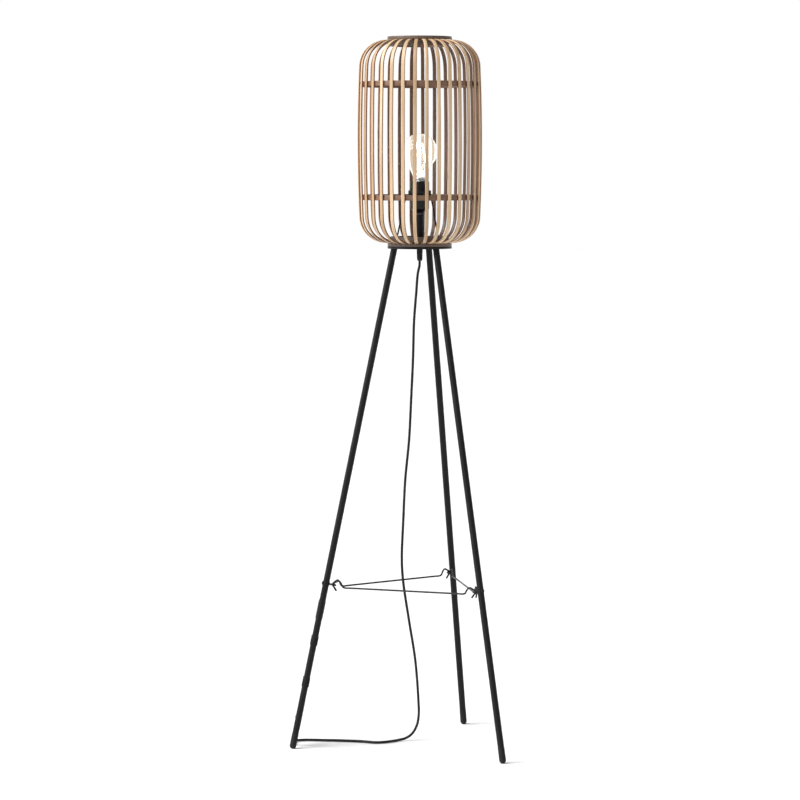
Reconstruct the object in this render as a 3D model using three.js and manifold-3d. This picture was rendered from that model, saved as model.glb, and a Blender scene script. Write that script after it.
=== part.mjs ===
// Tripod floor lamp with a barrel cage of split-bamboo slats.
// Units are millimetres, +Z is up and the feet stand on z = 0.
// The lamp is drawn about its own axis and moved onto its footprint centre at the end.
// An angle "around" the axis starts at -Y and turns toward +X.

import * as THREE from 'three';
import { mergeVertices } from 'three/addons/utils/BufferGeometryUtils.js';
import Module from 'manifold-3d';

// ---------- driving sizes ----------
const GAP = 0.3;

const totalHeight = 1300;
const plateUnderside = 915.5;
const plateRadius = 58.6;
const plateThickness = 4;

const legAngles = { left: -60, right: 60, back: 180 };
const legRadius = 5.9;
const footSpread = 236.5;
const headSpread = 47;
const footCapWall = 0.25;
const footCapLength = 28;
const footFlatRadius = 3;

const eyeHeight = 303.7;
const eyeNeck = 0.4;
const eyeRingRadius = 5.2;
const eyeWireRadius = 1.5;
const eyeShankRadius = 2.4;

const rodRadius = 1.6;
const rodSideShift = 1.75;
const rodDrop = 4.7;
const hookHumpReach = 11.6;
const hookHumpRise = 7.2;
const hookProngReach = 6.7;
const hookProngDrop = 11;

const slatCount = 32;
const slatPhase = 16.4;
const slatDrift = 1.4;
const slatDriftFrom = 20.9;
const slatWidth = 6.5;
const slatThickness = 3;
const cageRadius = 113.6;
const cageDraw = 2.815;
const cageCornerRadius = 49.6;
const slatEndRadius = 53.7;

const collarOuter = 58.5;
const collarInner = 49.6;
const collarFlange = 5.7;
const collarHoopOuter = 53.3;
const collarHoopInner = 50.6;
const collarHoopHeight = 12;

const hoopHeight = 9.5;
const hoopThickness = 2.8;
const upperHoopShare = 0.5383;
const lowerHoopShare = -0.5752;

const stemRadius = 7;
const stemBore = 5.2;
const stemLength = 58.7;
const gripRadius = 5.6;
const gripLength = 22.5;

const holderRadius = 17.25;
const holderNeckRadius = 8.5;
const holderChamfer = 8.5;
const holderHeight = 29.6;
const skirtRadius = 17.85;
const skirtBore = 13.8;
const skirtHeight = 29.8;
const skirtShoulderRadius = 19;
const ringNutRadius = 20.8;
const ringNutHeight = 7.8;

const spiderPlateRadius = 26.5;
const spiderPlateThickness = 2.2;
const spiderWireRadius = 1.4;
const spiderPhase = 70.9;

const bulbLength = 80.1;
const bulbRadius = 32.5;
const bulbCapRadius = 13.1;
const bulbCapLift = 15.2;
const bulbCapLength = 21.5;

const cordRadius = 2.4;
const cordTurn = 20.9;
const stowBearing = 201.4;
const stowGap = 0.9;
const switchLength = 56;
const switchWidth = 22;
const switchThickness = 11;
const switchShift = 0.8;
const switchStart = 33;
const rockerLength = 16;
const rockerWidth = 8;
const rockerTilt = 8;
const hankLength = 150;
const hankWidth = 35;
const hankThickness = 10;
const plugLength = 36;
const plugWidth = 35;
const plugThickness = 13.4;
const pinLength = 19;
const pinRadius = 2;
const pinSpacing = 19;

// ---------- sizes that follow from them ----------
const radians = THREE.MathUtils.degToRad;
const plateTop = plateUnderside + plateThickness;
const legSlope = (footSpread - headSpread) / plateUnderside;
const legLean = Math.atan(legSlope);
const footCapRadius = legRadius + footCapWall;
const eyeReach = legRadius + eyeNeck + eyeRingRadius + eyeWireRadius;
const stowReach = legRadius + stowGap + hankWidth / 2;
const lowerFlangeBase = plateTop + GAP;
const cageBottom = lowerFlangeBase + collarFlange + GAP;
const cageTop = totalHeight - collarFlange - GAP;
const cageHalf = (cageTop - cageBottom) / 2;
const cageMiddle = cageBottom + cageHalf;
const cornerRise = cageHalf - cageCornerRadius;
const cageBulgeRadius = (cornerRise ** 2 + cageDraw ** 2) / (2 * cageDraw);
const upperHoopBase = cageMiddle + upperHoopShare * cageHalf;
const lowerHoopBase = cageMiddle + lowerHoopShare * cageHalf;
const stemTop = plateTop + stemLength;
const holderTop = stemTop + holderHeight;
const skirtTop = holderTop + skirtHeight;
const bulbCapBase = holderTop + bulbCapLift;
const bulbCapTop = bulbCapBase + bulbCapLength;
const bulbTop = bulbCapTop + bulbLength;

const wasm = await Module();
wasm.setup();

// ---------- small helpers ----------
const part = new THREE.Group();
part.name = 'tripod_floor_lamp';

function add(name, geometry, colour, roughness, metalness) {
  const material = new THREE.MeshStandardMaterial({ color: colour, roughness, metalness });
  const mesh = new THREE.Mesh(geometry, material);
  mesh.name = name;
  part.add(mesh);
  return mesh;
}

const black = (name, geometry) => add(name, geometry, 0x222222, 0.45, 0.6);
const bamboo = (name, geometry) => add(name, geometry, 0xd9b98a, 0.6, 0);

// The direction at an angle around the axis.
function around(degrees, radius = 1, z = 0) {
  const a = radians(degrees);
  return new THREE.Vector3(radius * Math.sin(a), -radius * Math.cos(a), z);
}

// A closed ring or a solid of revolution about +Z, from [radius, z] pairs.
function turned(profile, segments = 40) {
  const points = profile.map(([r, z]) => new THREE.Vector2(r, z));
  const geometry = new THREE.LatheGeometry(points, segments);
  geometry.rotateX(Math.PI / 2);
  return geometry;
}

// A band with a rectangular section, counter-clockwise so that it faces out.
function band(inner, outer, bottom, top, segments = 40) {
  return turned([[inner, bottom], [outer, bottom], [outer, top], [inner, top], [inner, bottom]], segments);
}

function circle(radius, sides) {
  const points = [];
  for (let i = 0; i < sides; i += 1) {
    const a = (2 * Math.PI * i) / sides;
    points.push(new THREE.Vector2(radius * Math.cos(a), radius * Math.sin(a)));
  }
  return new THREE.Shape(points);
}

// A round wire or cord along a curve.
function wire(curve, radius, sides, steps) {
  return new THREE.ExtrudeGeometry(circle(radius, sides), {
    steps,
    extrudePath: curve,
    bevelEnabled: false,
    curveSegments: 1,
  });
}

function smooth(points) {
  return new THREE.CatmullRomCurve3(points, false, 'centripetal');
}

// The same curve with as many steps between each pair of points, so that tight hooks stay round.
class HookedCurve extends THREE.CatmullRomCurve3 {
  getSpacedPoints(divisions) {
    return this.getPoints(divisions);
  }

  getTangentAt(u, target) {
    return this.getTangent(u, target);
  }
}

function box(width, depth, height, x = 0, y = 0, z = 0) {
  return new THREE.BoxGeometry(width, depth, height).translate(x, y, z);
}

function rod(radius, length, segments = 24) {
  return turned([[0, 0], [radius, 0], [radius, length], [0, length]], segments);
}

function toSolid(geometry) {
  const bare = geometry.clone();
  bare.deleteAttribute('normal');
  bare.deleteAttribute('uv');
  const joined = mergeVertices(bare, 1e-4);
  const mesh = new wasm.Mesh({
    numProp: 3,
    vertProperties: Float32Array.from(joined.attributes.position.array),
    triVerts: Uint32Array.from(joined.index.array),
  });
  mesh.merge();
  return new wasm.Manifold(mesh);
}

function toGeometry(solid) {
  const mesh = solid.getMesh();
  const geometry = new THREE.BufferGeometry();
  const positions = new Float32Array(mesh.vertProperties);
  geometry.setAttribute('position', new THREE.BufferAttribute(positions, 3));
  geometry.setIndex(new THREE.BufferAttribute(new Uint32Array(mesh.triVerts), 1));
  geometry.computeVertexNormals();
  return geometry;
}

const union = (...shapes) => toGeometry(shapes.map(toSolid).reduce((a, b) => a.add(b)));
const cut = (shape, ...tools) => {
  const solid = toSolid(shape);
  return toGeometry(tools.map(toSolid).reduce((a, b) => a.subtract(b), solid));
};

// ---------- legs, drawn leaning from their foot at the angle -Y ----------
// Along the leg, "up" runs from the foot to the head plate.
function onLeg(geometry) {
  return geometry.rotateX(-legLean).translate(0, -footSpread, 0);
}

function legGeometry() {
  const sphereRise = Math.sqrt(footCapRadius ** 2 - footFlatRadius ** 2);
  const centre = sphereRise / Math.cos(legLean);
  const length = plateUnderside / Math.cos(legLean) + 2 * legRadius;
  const profile = [];
  for (let i = 0; i <= 5; i += 1) {
    const a = (Math.PI / 2) * (i / 5);
    profile.push([footCapRadius * Math.sin(a), centre - footCapRadius * Math.cos(a)]);
  }
  profile.push([footCapRadius, footCapLength - 1], [legRadius, footCapLength]);
  profile.push([legRadius, length], [0, length]);
  profile[0][0] = 0;
  const body = onLeg(turned(profile, 24));
  const floor = box(80, 80, 40, 0, -footSpread, -20);
  const head = box(80, 80, 60, 0, -headSpread, plateUnderside - GAP + 30);
  const hole = rod(eyeShankRadius + GAP, 6 * legRadius, 16).rotateX(-Math.PI / 2);
  hole.translate(0, -3 * legRadius, eyeHeight / Math.cos(legLean));
  return cut(body, floor, head, onLeg(hole));
}

// An eye bolt: its ring lies square to the leg and its shank goes through the leg.
function eyeBoltGeometry() {
  const along = eyeHeight / Math.cos(legLean);
  const ring = new THREE.TorusGeometry(eyeRingRadius, eyeWireRadius, 8, 24);
  ring.translate(0, eyeReach, along);
  const shankStart = -legRadius - 2;
  const shankEnd = eyeReach - eyeRingRadius;
  const shank = rod(eyeShankRadius, shankEnd - shankStart - 1, 16).rotateX(-Math.PI / 2);
  shank.translate(0, shankStart, along);
  const neck = rod(eyeWireRadius, 4, 12).rotateX(-Math.PI / 2);
  neck.translate(0, shankEnd - 3.4, along);
  return onLeg(union(ring, shank, neck));
}

for (const [side, angle] of Object.entries(legAngles)) {
  black(`leg_${side}`, legGeometry().rotateZ(radians(angle)));
  add(`eye_bolt_${side}`, eyeBoltGeometry().rotateZ(radians(angle)), 0x2a2a2a, 0.4, 0.8);
}

// ---------- hooked wire rods between the eyes ----------
const eyeAxisRadius = footSpread - eyeHeight * legSlope - eyeReach * Math.cos(legLean);
const eyeAxisHeight = eyeHeight - eyeReach * Math.sin(legLean);
// The hooks sit side by side against the inner face of the eye.
const hookSeat = eyeRingRadius - eyeWireRadius - rodRadius - 0.5;
const hookRadius = eyeAxisRadius - Math.sqrt(Math.max(0, hookSeat ** 2 - rodSideShift ** 2));

function spreaderRodGeometry() {
  const halfSpan = hookRadius * Math.sin(radians(60)) - rodSideShift * Math.cos(radians(60));
  const offset = hookRadius * Math.cos(radians(60)) + rodSideShift * Math.sin(radians(60));
  const end = [
    [hookProngReach, -hookProngDrop],
    [hookProngReach * 0.45, -hookProngDrop * 0.5],
    [-0.4, -1],
    [1.2, 2.4],
    [hookHumpReach * 0.55, hookHumpRise * 0.76],
    [hookHumpReach, hookHumpRise],
    [hookHumpReach + 4.2, hookHumpRise * 0.45],
    [hookHumpReach + 8, -rodDrop * 0.7],
    [hookHumpReach + 12, -rodDrop],
    [hookHumpReach + 24, -rodDrop],
  ];
  const left = end.map(([s, z]) => new THREE.Vector3(-halfSpan + s, -offset, eyeAxisHeight + z));
  const right = left.map((p) => new THREE.Vector3(-p.x, p.y, p.z)).reverse();
  return wire(new HookedCurve([...left, ...right], false, 'centripetal'), rodRadius, 8, 76);
}

const rodAngles = { front: 0, right: 120, left: -120 };
for (const [side, angle] of Object.entries(rodAngles)) {
  add(`spreader_rod_${side}`, spreaderRodGeometry().rotateZ(radians(angle)), 0x2b2b2b, 0.3, 0.8);
}

// ---------- head plate, stem and cord grip on the axis ----------
black('head_plate', band(stemBore, plateRadius, plateUnderside, plateTop, 56));
black('stem_tube', band(stemBore, stemRadius, plateTop + GAP, stemTop - GAP));
black('cord_grip', turned([
  [cordRadius + GAP, plateUnderside - gripLength],
  [gripRadius - 1.6, plateUnderside - gripLength],
  [gripRadius, plateUnderside - gripLength + 2.5],
  [gripRadius, plateUnderside - GAP],
  [cordRadius + GAP, plateUnderside - GAP],
  [cordRadius + GAP, plateUnderside - gripLength],
], 32));

// ---------- lampholder ----------
black('lampholder_cap', turned([
  [stemBore, stemTop],
  [holderNeckRadius, stemTop],
  [holderRadius, stemTop + holderChamfer],
  [holderRadius, holderTop],
  [skirtBore, holderTop],
  [skirtBore, stemTop + holderChamfer + 2],
  [stemBore, stemTop + 3],
  [stemBore, stemTop],
]));
const shoulderBase = holderTop + GAP;
const shoulderTop = shoulderBase + 2.6;
black('lampholder_skirt', turned([
  [skirtBore, shoulderBase],
  [skirtShoulderRadius, shoulderBase],
  [skirtShoulderRadius, shoulderTop],
  [skirtRadius, shoulderTop],
  [skirtRadius, skirtTop - 1],
  [skirtRadius - 1, skirtTop],
  [skirtBore, skirtTop],
  [skirtBore, shoulderBase],
]));
const spiderBase = shoulderTop + GAP;
const ringNutBase = spiderBase + spiderPlateThickness + GAP;
black('shade_ring_nut', turned([
  [skirtRadius + GAP, ringNutBase],
  [ringNutRadius, ringNutBase],
  [ringNutRadius, ringNutBase + ringNutHeight - 1],
  [ringNutRadius - 1, ringNutBase + ringNutHeight],
  [skirtRadius + GAP, ringNutBase + ringNutHeight],
  [skirtRadius + GAP, ringNutBase],
]));

// ---------- spider: a ring plate with three welded wires to the lower collar ----------
function spiderGeometry() {
  const plate = band(skirtRadius + GAP, spiderPlateRadius, spiderBase, spiderBase + spiderPlateThickness);
  const hoopFace = collarHoopInner - 2 * GAP;
  const landing = lowerFlangeBase + collarFlange + collarHoopHeight * 0.5;
  const run = smooth([
    new THREE.Vector3(0, -(spiderPlateRadius - 2.2), spiderBase + 0.9),
    new THREE.Vector3(0, -(spiderPlateRadius + 0.6), spiderBase - 4),
    new THREE.Vector3(0, -(hoopFace - 11), landing + 26),
    new THREE.Vector3(0, -(hoopFace - 6), landing + 6),
    new THREE.Vector3(0, -(hoopFace - 2), landing),
    new THREE.Vector3(0, -hoopFace, landing),
  ]);
  const wires = [0, 1, 2].map((i) => wire(run, spiderWireRadius, 8, 14).rotateZ(radians(120 * i)));
  return union(plate, ...wires).rotateZ(radians(spiderPhase));
}
black('shade_spider', spiderGeometry());

// ---------- bulb: glass envelope, screw cap and contact ----------
const bulbCentre = bulbTop - bulbRadius;
const glassProfile = [[0, bulbCapTop + GAP], [bulbCapRadius - 0.6, bulbCapTop + GAP]];
glassProfile.push([bulbCapRadius - 0.2, bulbCapTop + 3]);
glassProfile.push([15.6, bulbCapTop + 10.5], [20.6, bulbCapTop + 19.5]);
for (let i = 0; i <= 9; i += 1) {
  const a = radians(-38 + (128 * i) / 9);
  glassProfile.push([bulbRadius * Math.cos(a), bulbCentre + bulbRadius * Math.sin(a)]);
}
glassProfile[glassProfile.length - 1] = [0, bulbTop];
add('bulb_glass', turned(glassProfile, 32), 0xf7efe2, 0.05, 0);
const screwCap = rod(bulbCapRadius, bulbCapLength, 32).translate(0, 0, bulbCapBase);
add('bulb_cap', screwCap, 0xb8b2a6, 0.3, 1);
add('bulb_eyelet', turned([
  [0, bulbCapBase - GAP - 3.6],
  [4.5, bulbCapBase - GAP - 3.6],
  [9, bulbCapBase - GAP],
  [0, bulbCapBase - GAP],
], 24), 0xa9a08c, 0.35, 1);

// ---------- cage: collars, hoops and bent slats ----------
function collarProfile(base, hoopEnd) {
  const flangeTop = base + collarFlange;
  const up = hoopEnd > flangeTop;
  const inner = up ? flangeTop : base;
  const tip = hoopEnd;
  const ring = [
    [collarInner, base],
    [collarOuter, base],
    [collarOuter, flangeTop],
    [collarInner, flangeTop],
  ];
  const hoop = [
    [collarHoopInner, inner],
    [collarHoopInner, tip],
    [collarHoopOuter, tip],
    [collarHoopOuter, inner],
  ];
  if (up) {
    return [ring[0], ring[1], ring[2], hoop[3], hoop[2], hoop[1], hoop[0], ring[3], ring[0]];
  }
  return [ring[0], hoop[0], hoop[1], hoop[2], hoop[3], ring[1], ring[2], ring[3], ring[0]];
}
const upperFlangeBase = totalHeight - collarFlange;
const lowerHoopTip = lowerFlangeBase + collarFlange + collarHoopHeight;
bamboo('collar_top', turned(collarProfile(upperFlangeBase, upperFlangeBase - collarHoopHeight), 52));
bamboo('collar_bottom', turned(collarProfile(lowerFlangeBase, lowerHoopTip), 52));

// Outer face of a slat: bulge radius between two corner arcs, as [radius, z, lean] triples.
const cornerReach = cageBulgeRadius - cageCornerRadius;
const cornerLean = Math.asin(cornerRise / cornerReach);
const cornerCentre = cageRadius - cageBulgeRadius + cornerReach * Math.cos(cornerLean);

function slatStations() {
  const stations = [[slatEndRadius, cageTop, Math.PI / 2]];
  for (let i = 0; i <= 5; i += 1) {
    const a = Math.PI / 2 - (Math.PI / 2 - cornerLean) * (i / 5);
    const z = cageTop - cageCornerRadius + cageCornerRadius * Math.sin(a);
    stations.push([cornerCentre + cageCornerRadius * Math.cos(a), z, a]);
  }
  for (let i = 1; i < 3; i += 1) {
    const a = cornerLean * (1 - i / 3);
    const r = cageRadius - cageBulgeRadius * (1 - Math.cos(a));
    stations.push([r, cageMiddle + cageBulgeRadius * Math.sin(a), a]);
  }
  stations.push([cageRadius, cageMiddle, 0]);
  const lower = stations.slice(0, -1).reverse();
  return [...stations, ...lower.map(([r, z, a]) => [r, 2 * cageMiddle - z, -a])];
}

function cageFaceRadius(z) {
  return cageRadius - ((z - cageMiddle) ** 2) / (2 * cageBulgeRadius) - slatThickness;
}

function slatGeometry() {
  const half = slatWidth / 2;
  const positions = [];
  const stations = slatStations();
  for (const [r, z, a] of stations) {
    const innerR = r - slatThickness * Math.cos(a);
    const innerZ = z - slatThickness * Math.sin(a);
    positions.push(-half, -r, z, half, -r, z, half, -innerR, innerZ, -half, -innerR, innerZ);
  }
  const index = [0, 1, 2, 0, 2, 3];
  for (let i = 0; i + 1 < stations.length; i += 1) {
    for (let k = 0; k < 4; k += 1) {
      const a = 4 * i + k;
      const b = 4 * i + ((k + 1) % 4);
      index.push(a, b + 4, b, a, a + 4, b + 4);
    }
  }
  const last = 4 * (stations.length - 1);
  index.push(last, last + 2, last + 1, last, last + 3, last + 2);
  const geometry = new THREE.BufferGeometry();
  geometry.setAttribute('position', new THREE.Float32BufferAttribute(positions, 3));
  geometry.setIndex(index);
  geometry.computeVertexNormals();
  return geometry;
}

// The slats are spaced by hand: evenly, but drifting by slatDrift to the far side of the cage.
for (let i = 0; i < slatCount; i += 1) {
  const even = slatPhase + (360 * i) / slatCount;
  const angle = even + (slatDrift / 2) * (1 - Math.cos(radians(even - slatDriftFrom)));
  bamboo(`slat_${String(i + 1).padStart(2, '0')}`, slatGeometry().rotateZ(radians(angle)));
}

function hoopGeometry(base) {
  const outer = Math.min(cageFaceRadius(base), cageFaceRadius(base + hoopHeight)) - GAP;
  return band(outer - hoopThickness, outer, base, base + hoopHeight, 72);
}
bamboo('hoop_upper', hoopGeometry(upperHoopBase));
bamboo('hoop_lower', hoopGeometry(lowerHoopBase));

// ---------- cord, and its spare length strapped up the far side of the left leg ----------
// The stow frame: "up" the leg, "out" away from it, "across" square to both.
const legFoot = around(legAngles.left, footSpread);
const legHead = around(legAngles.left, headSpread, plateUnderside);
const stowUp = legHead.clone().sub(legFoot).normalize();
const bearing = around(stowBearing);
const stowOut = bearing.sub(stowUp.clone().multiplyScalar(bearing.dot(stowUp))).normalize();
const stowAcross = new THREE.Vector3().crossVectors(stowOut, stowUp).normalize();

function stowPoint(up, out, across = 0) {
  return legFoot.clone()
    .addScaledVector(stowUp, up)
    .addScaledVector(stowOut, out)
    .addScaledVector(stowAcross, across);
}

// Moves a piece drawn with across = X, out = Y and up = Z onto the leg.
function stow(geometry, up) {
  const frame = new THREE.Matrix4().makeBasis(stowAcross, stowOut, stowUp);
  return geometry.applyMatrix4(frame.setPosition(stowPoint(up, stowReach)));
}

// The hang from the grip, as [across, back] about the lamp's axis and a share of the grip's
// height, and the run on the floor, as shares of the foot spread. Both lie in a frame turned
// by cordTurn.
const cordBase = cordRadius + 0.25;
const gripEnd = plateUnderside - gripLength - GAP;
const cordHang = [
  [0, 0, 1],
  [-0.4, 0, 0.99],
  [-3.3, 0.5, 0.975],
  [-6.6, 1.6, 0.93],
  [-10.2, 4, 0.878],
  [-12.3, 8, 0.796],
  [-15.6, 13, 0.717],
  [-19.5, 18, 0.631],
  [-26.5, 22, 0.549],
  [-30.2, 27, 0.464],
  [-33, 32, 0.381],
  [-30.6, 34.4, 0.336],
  [-19.8, 39, 0.253],
  [-8.2, 42.5, 0.169],
  [-2.4, 44.6, 0.085],
  [-1.8, 45, 0.0538],
  [-5.4, 45, 0.0314],
  [-14.5, 44, 0.014],
  [-26, 41.5, 0.0055],
];
const cordFloor = [
  [-0.161, 0.152],
  [-0.237, 0.08],
  [-0.334, 0.038],
  [-0.448, 0.085],
  [-0.592, 0.118],
  [-0.748, 0.14],
  [-0.896, 0.152],
  [-0.943, 0.14],
  [-0.972, 0.11],
  [-0.982, 0.068],
  [-0.982, 0.038],
];

function cordGeometry() {
  const hang = cordHang.map(([x, y, share]) => [x, y, share * gripEnd]);
  const onFloor = cordFloor.map(([x, y]) => [x * footSpread, y * footSpread, cordBase]);
  const points = [...hang, ...onFloor].map((p) => new THREE.Vector3(...p));
  const turn = radians(cordTurn);
  for (const p of points) {
    p.applyAxisAngle(new THREE.Vector3(0, 0, 1), turn);
  }
  points.push(stowPoint(8.2, stowReach + 9.5), stowPoint(15, stowReach + 2.6), stowPoint(24, stowReach));
  points.push(stowPoint(switchStart - GAP, stowReach));
  return wire(smooth(points), cordRadius, 8, 80);
}
add('cord', cordGeometry(), 0x1c1c1c, 0.6, 0);

// An outline drawn in [out, up], given its thickness across.
function slab(outline, thickness) {
  const shape = new THREE.Shape(outline.map(([y, z]) => new THREE.Vector2(y, z)));
  const geometry = new THREE.ExtrudeGeometry(shape, { depth: thickness, bevelEnabled: false });
  const turnAxes = new THREE.Matrix4().makeBasis(
    new THREE.Vector3(0, 1, 0),
    new THREE.Vector3(0, 0, 1),
    new THREE.Vector3(1, 0, 0),
  );
  return geometry.applyMatrix4(turnAxes).translate(-thickness / 2, 0, 0);
}

// A rectangle with its corners rounded or, with one step, cut off.
function roundedOutline(width, length, radius, steps) {
  const outline = [];
  const corners = [[1, 0, 0], [1, 1, 90], [-1, 1, 180], [-1, 0, 270]];
  for (const [sideways, end, start] of corners) {
    const y = sideways * (width / 2 - radius);
    const z = end ? length - radius : radius;
    for (let i = 0; i <= steps; i += 1) {
      const a = radians(start - 90 + (90 * i) / steps);
      outline.push([y + radius * Math.cos(a), z + radius * Math.sin(a)]);
    }
  }
  return outline;
}

// The in-line switch: its rocker faces away from the lamp, recessed in the narrow body.
const switchFace = switchShift - switchThickness / 2;
const rockerDepth = 3.6;
const pivotDepth = 2.2;
const pocketLength = rockerLength + 1;
const pocketWidth = rockerWidth + 0.8;
const pocketDepth = 6;

function switchBodyGeometry() {
  const body = slab(roundedOutline(switchWidth, switchLength, 4, 3), switchThickness);
  body.translate(switchShift, 0, 0);
  const pocket = box(2 * pocketDepth, pocketWidth, pocketLength, switchFace, 0, switchLength / 2);
  return cut(body, pocket);
}

function rockerGeometry() {
  const end = rockerLength / 2;
  const outline = [
    [-end, -1.2], [-end + 3, -rockerDepth], [end - 3, -rockerDepth],
    [end, -1.2], [end, 0.8], [0, 0.1], [-end, 0.8],
  ];
  const shape = new THREE.Shape(outline.map(([z, w]) => new THREE.Vector2(z, w)));
  const geometry = new THREE.ExtrudeGeometry(shape, { depth: rockerWidth, bevelEnabled: false });
  const turnAxes = new THREE.Matrix4().makeBasis(
    new THREE.Vector3(0, 0, 1),
    new THREE.Vector3(-1, 0, 0),
    new THREE.Vector3(0, -1, 0),
  );
  geometry.applyMatrix4(turnAxes).translate(-pivotDepth, rockerWidth / 2, 0);
  geometry.rotateY(radians(rockerTilt));
  return geometry.translate(switchFace + pivotDepth, 0, switchLength / 2);
}
add('switch_body', stow(switchBodyGeometry(), switchStart), 0x1c1c1c, 0.5, 0);
add('switch_rocker', stow(rockerGeometry(), switchStart), 0x303030, 0.4, 0);

const hankStart = switchStart + switchLength + GAP;
const hank = slab(roundedOutline(hankWidth, hankLength, 12, 4), hankThickness);
add('cord_hank', stow(hank, hankStart), 0x1c1c1c, 0.6, 0);

function plugGeometry() {
  const half = plugWidth / 2;
  const outline = [
    [-6, 0], [6, 0], [8, 8], [half, 18], [half, plugLength - 2], [half - 2, plugLength],
    [-half + 2, plugLength], [-half, plugLength - 2], [-half, 18], [-8, 8],
  ];
  const pin = rod(pinRadius, pinLength + 2, 16);
  const pins = [-1, 1].map((s) => pin.clone().translate(0, (s * pinSpacing) / 2, plugLength - 2));
  return union(slab(outline, plugThickness), ...pins);
}
add('plug', stow(plugGeometry(), hankStart + hankLength + GAP), 0x1c1c1c, 0.5, 0);

// ---------- place the lamp on its footprint centre, cord aside ----------
const cordPieces = new Set(['cord', 'cord_hank', 'plug', 'switch_body', 'switch_rocker']);
const extent = new THREE.Box3();
for (const mesh of part.children) {
  if (!cordPieces.has(mesh.name)) {
    extent.expandByObject(mesh);
  }
}
const centre = extent.getCenter(new THREE.Vector3());
for (const mesh of part.children) {
  mesh.geometry.translate(-centre.x, -centre.y, 0);
}

export default part;
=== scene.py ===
import math

import bmesh
import bpy
import numpy as np
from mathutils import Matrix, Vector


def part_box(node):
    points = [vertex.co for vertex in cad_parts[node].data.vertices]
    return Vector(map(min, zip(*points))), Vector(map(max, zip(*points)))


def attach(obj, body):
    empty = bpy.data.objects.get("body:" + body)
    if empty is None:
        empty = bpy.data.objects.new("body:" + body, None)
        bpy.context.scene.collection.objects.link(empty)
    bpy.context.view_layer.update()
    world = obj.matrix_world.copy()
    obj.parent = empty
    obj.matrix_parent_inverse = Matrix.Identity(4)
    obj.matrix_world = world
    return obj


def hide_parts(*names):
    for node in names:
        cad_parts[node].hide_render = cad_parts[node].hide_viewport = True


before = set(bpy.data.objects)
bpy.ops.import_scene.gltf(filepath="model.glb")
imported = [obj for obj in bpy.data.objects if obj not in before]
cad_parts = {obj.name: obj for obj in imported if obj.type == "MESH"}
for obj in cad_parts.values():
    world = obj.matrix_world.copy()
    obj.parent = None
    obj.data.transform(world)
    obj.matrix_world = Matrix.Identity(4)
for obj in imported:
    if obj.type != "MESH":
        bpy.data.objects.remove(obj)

scene = bpy.context.scene
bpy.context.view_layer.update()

# ---------- studio ----------
# A large matt white floor and a white room, lit by a broad soft key from the front left,
# a tall softbox for the gloss on the black tubes and a weak fill from the right.


def linear(colour):
    """An sRGB hex colour as linear RGBA: c / 12.92 near black, ((c + 0.055) / 1.055) ^ 2.4 above."""
    c = np.array([int(colour[i:i + 2], 16) for i in (1, 3, 5)]) / 255
    c = np.where(c <= 0.04045, c / 12.92, ((c + 0.055) / 1.055) ** 2.4)
    return (*c.tolist(), 1.0)


def add(tree, kind, inputs=None, **settings):
    """Adds one shader node; an input is a plain value, or another node's output to link, and a
    ramp's stops are positions with hex colours or linear RGBA."""
    node = tree.nodes.new("ShaderNode" + kind)
    stops = settings.pop("stops", ())
    for name, value in settings.items():
        setattr(node, name, value)
    for i, (position, colour) in enumerate(stops):
        ramp = node.color_ramp.elements
        stop = ramp[i] if i < 2 else ramp.new(position)
        stop.position = position
        stop.color = linear(colour) if isinstance(colour, str) else colour
    for name, value in (inputs or {}).items():
        if isinstance(value, bpy.types.NodeSocket):
            tree.links.new(value, node.inputs[name])
        else:
            node.inputs[name].default_value = value
    return node


def new_material(name, roughness, metallic=0.0, **sockets):
    """A material with its shader's constant sockets set; returns it, its tree and its shader."""
    material = bpy.data.materials.new(name)
    material.use_nodes = True
    tree = material.node_tree
    shader = tree.nodes["Principled BSDF"]
    shader.inputs["Roughness"].default_value = roughness
    shader.inputs["Metallic"].default_value = metallic
    for socket, value in sockets.items():
        shader.inputs[socket.replace("_", " ")].default_value = value
    return material, tree, shader


def link(tree, shader, tint=None, gloss=None, bump=None):
    """Links a colour, a roughness and a bump to the shader's sockets."""
    for output, socket in ((tint, "Base Color"), (gloss, "Roughness"), (bump, "Normal")):
        if output is not None:
            tree.links.new(output, shader.inputs[socket])


plate_low, plate_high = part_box("head_plate")
axis = np.array([(plate_low.x + plate_high.x) / 2, (plate_low.y + plate_high.y) / 2, 0.0])

camera_turn = math.radians(20.9)
camera_tilt = math.radians(4.305)
camera_data = bpy.data.cameras.new("camera")
camera_data.sensor_width = 36.0
camera_data.lens = 144.675
camera_data.shift_x = -0.0246
camera = bpy.data.objects.new("camera", camera_data)
camera.location = axis + 5.871 * np.array([math.sin(camera_turn), -math.cos(camera_turn), 0.0]) + [
    0, 0, 1.0802]
camera.rotation_euler = (math.pi / 2 - camera_tilt, 0.0, camera_turn)
scene.collection.objects.link(camera)
scene.camera = camera
scene.view_settings.view_transform = "Standard"

# Matt paper: an even off-white with a very faint tooth.
paper, tree, shader = new_material("matt_white_paper", 0.9)
where = add(tree, "TexCoord").outputs["Object"]
tooth = add(tree, "TexNoise", {"Vector": where, "Scale": 40.0, "Detail": 3.0})
tint = add(tree, "ValToRGB", {"Fac": tooth.outputs["Fac"]}, stops=[(0.3, "#E6E6E5"), (0.7, "#EAEAE9")])
tree.links.new(tint.outputs["Color"], shader.inputs["Base Color"])
floor_mesh = bpy.data.meshes.new("floor")
floor_mesh.from_pydata(
    [(-30, -30, -0.0004), (30, -30, -0.0004), (30, 30, -0.0004), (-30, 30, -0.0004)],
    [], [(0, 1, 2, 3)])
floor_mesh.materials.append(paper)
floor = bpy.data.objects.new("floor", floor_mesh)
scene.collection.objects.link(floor)

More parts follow.
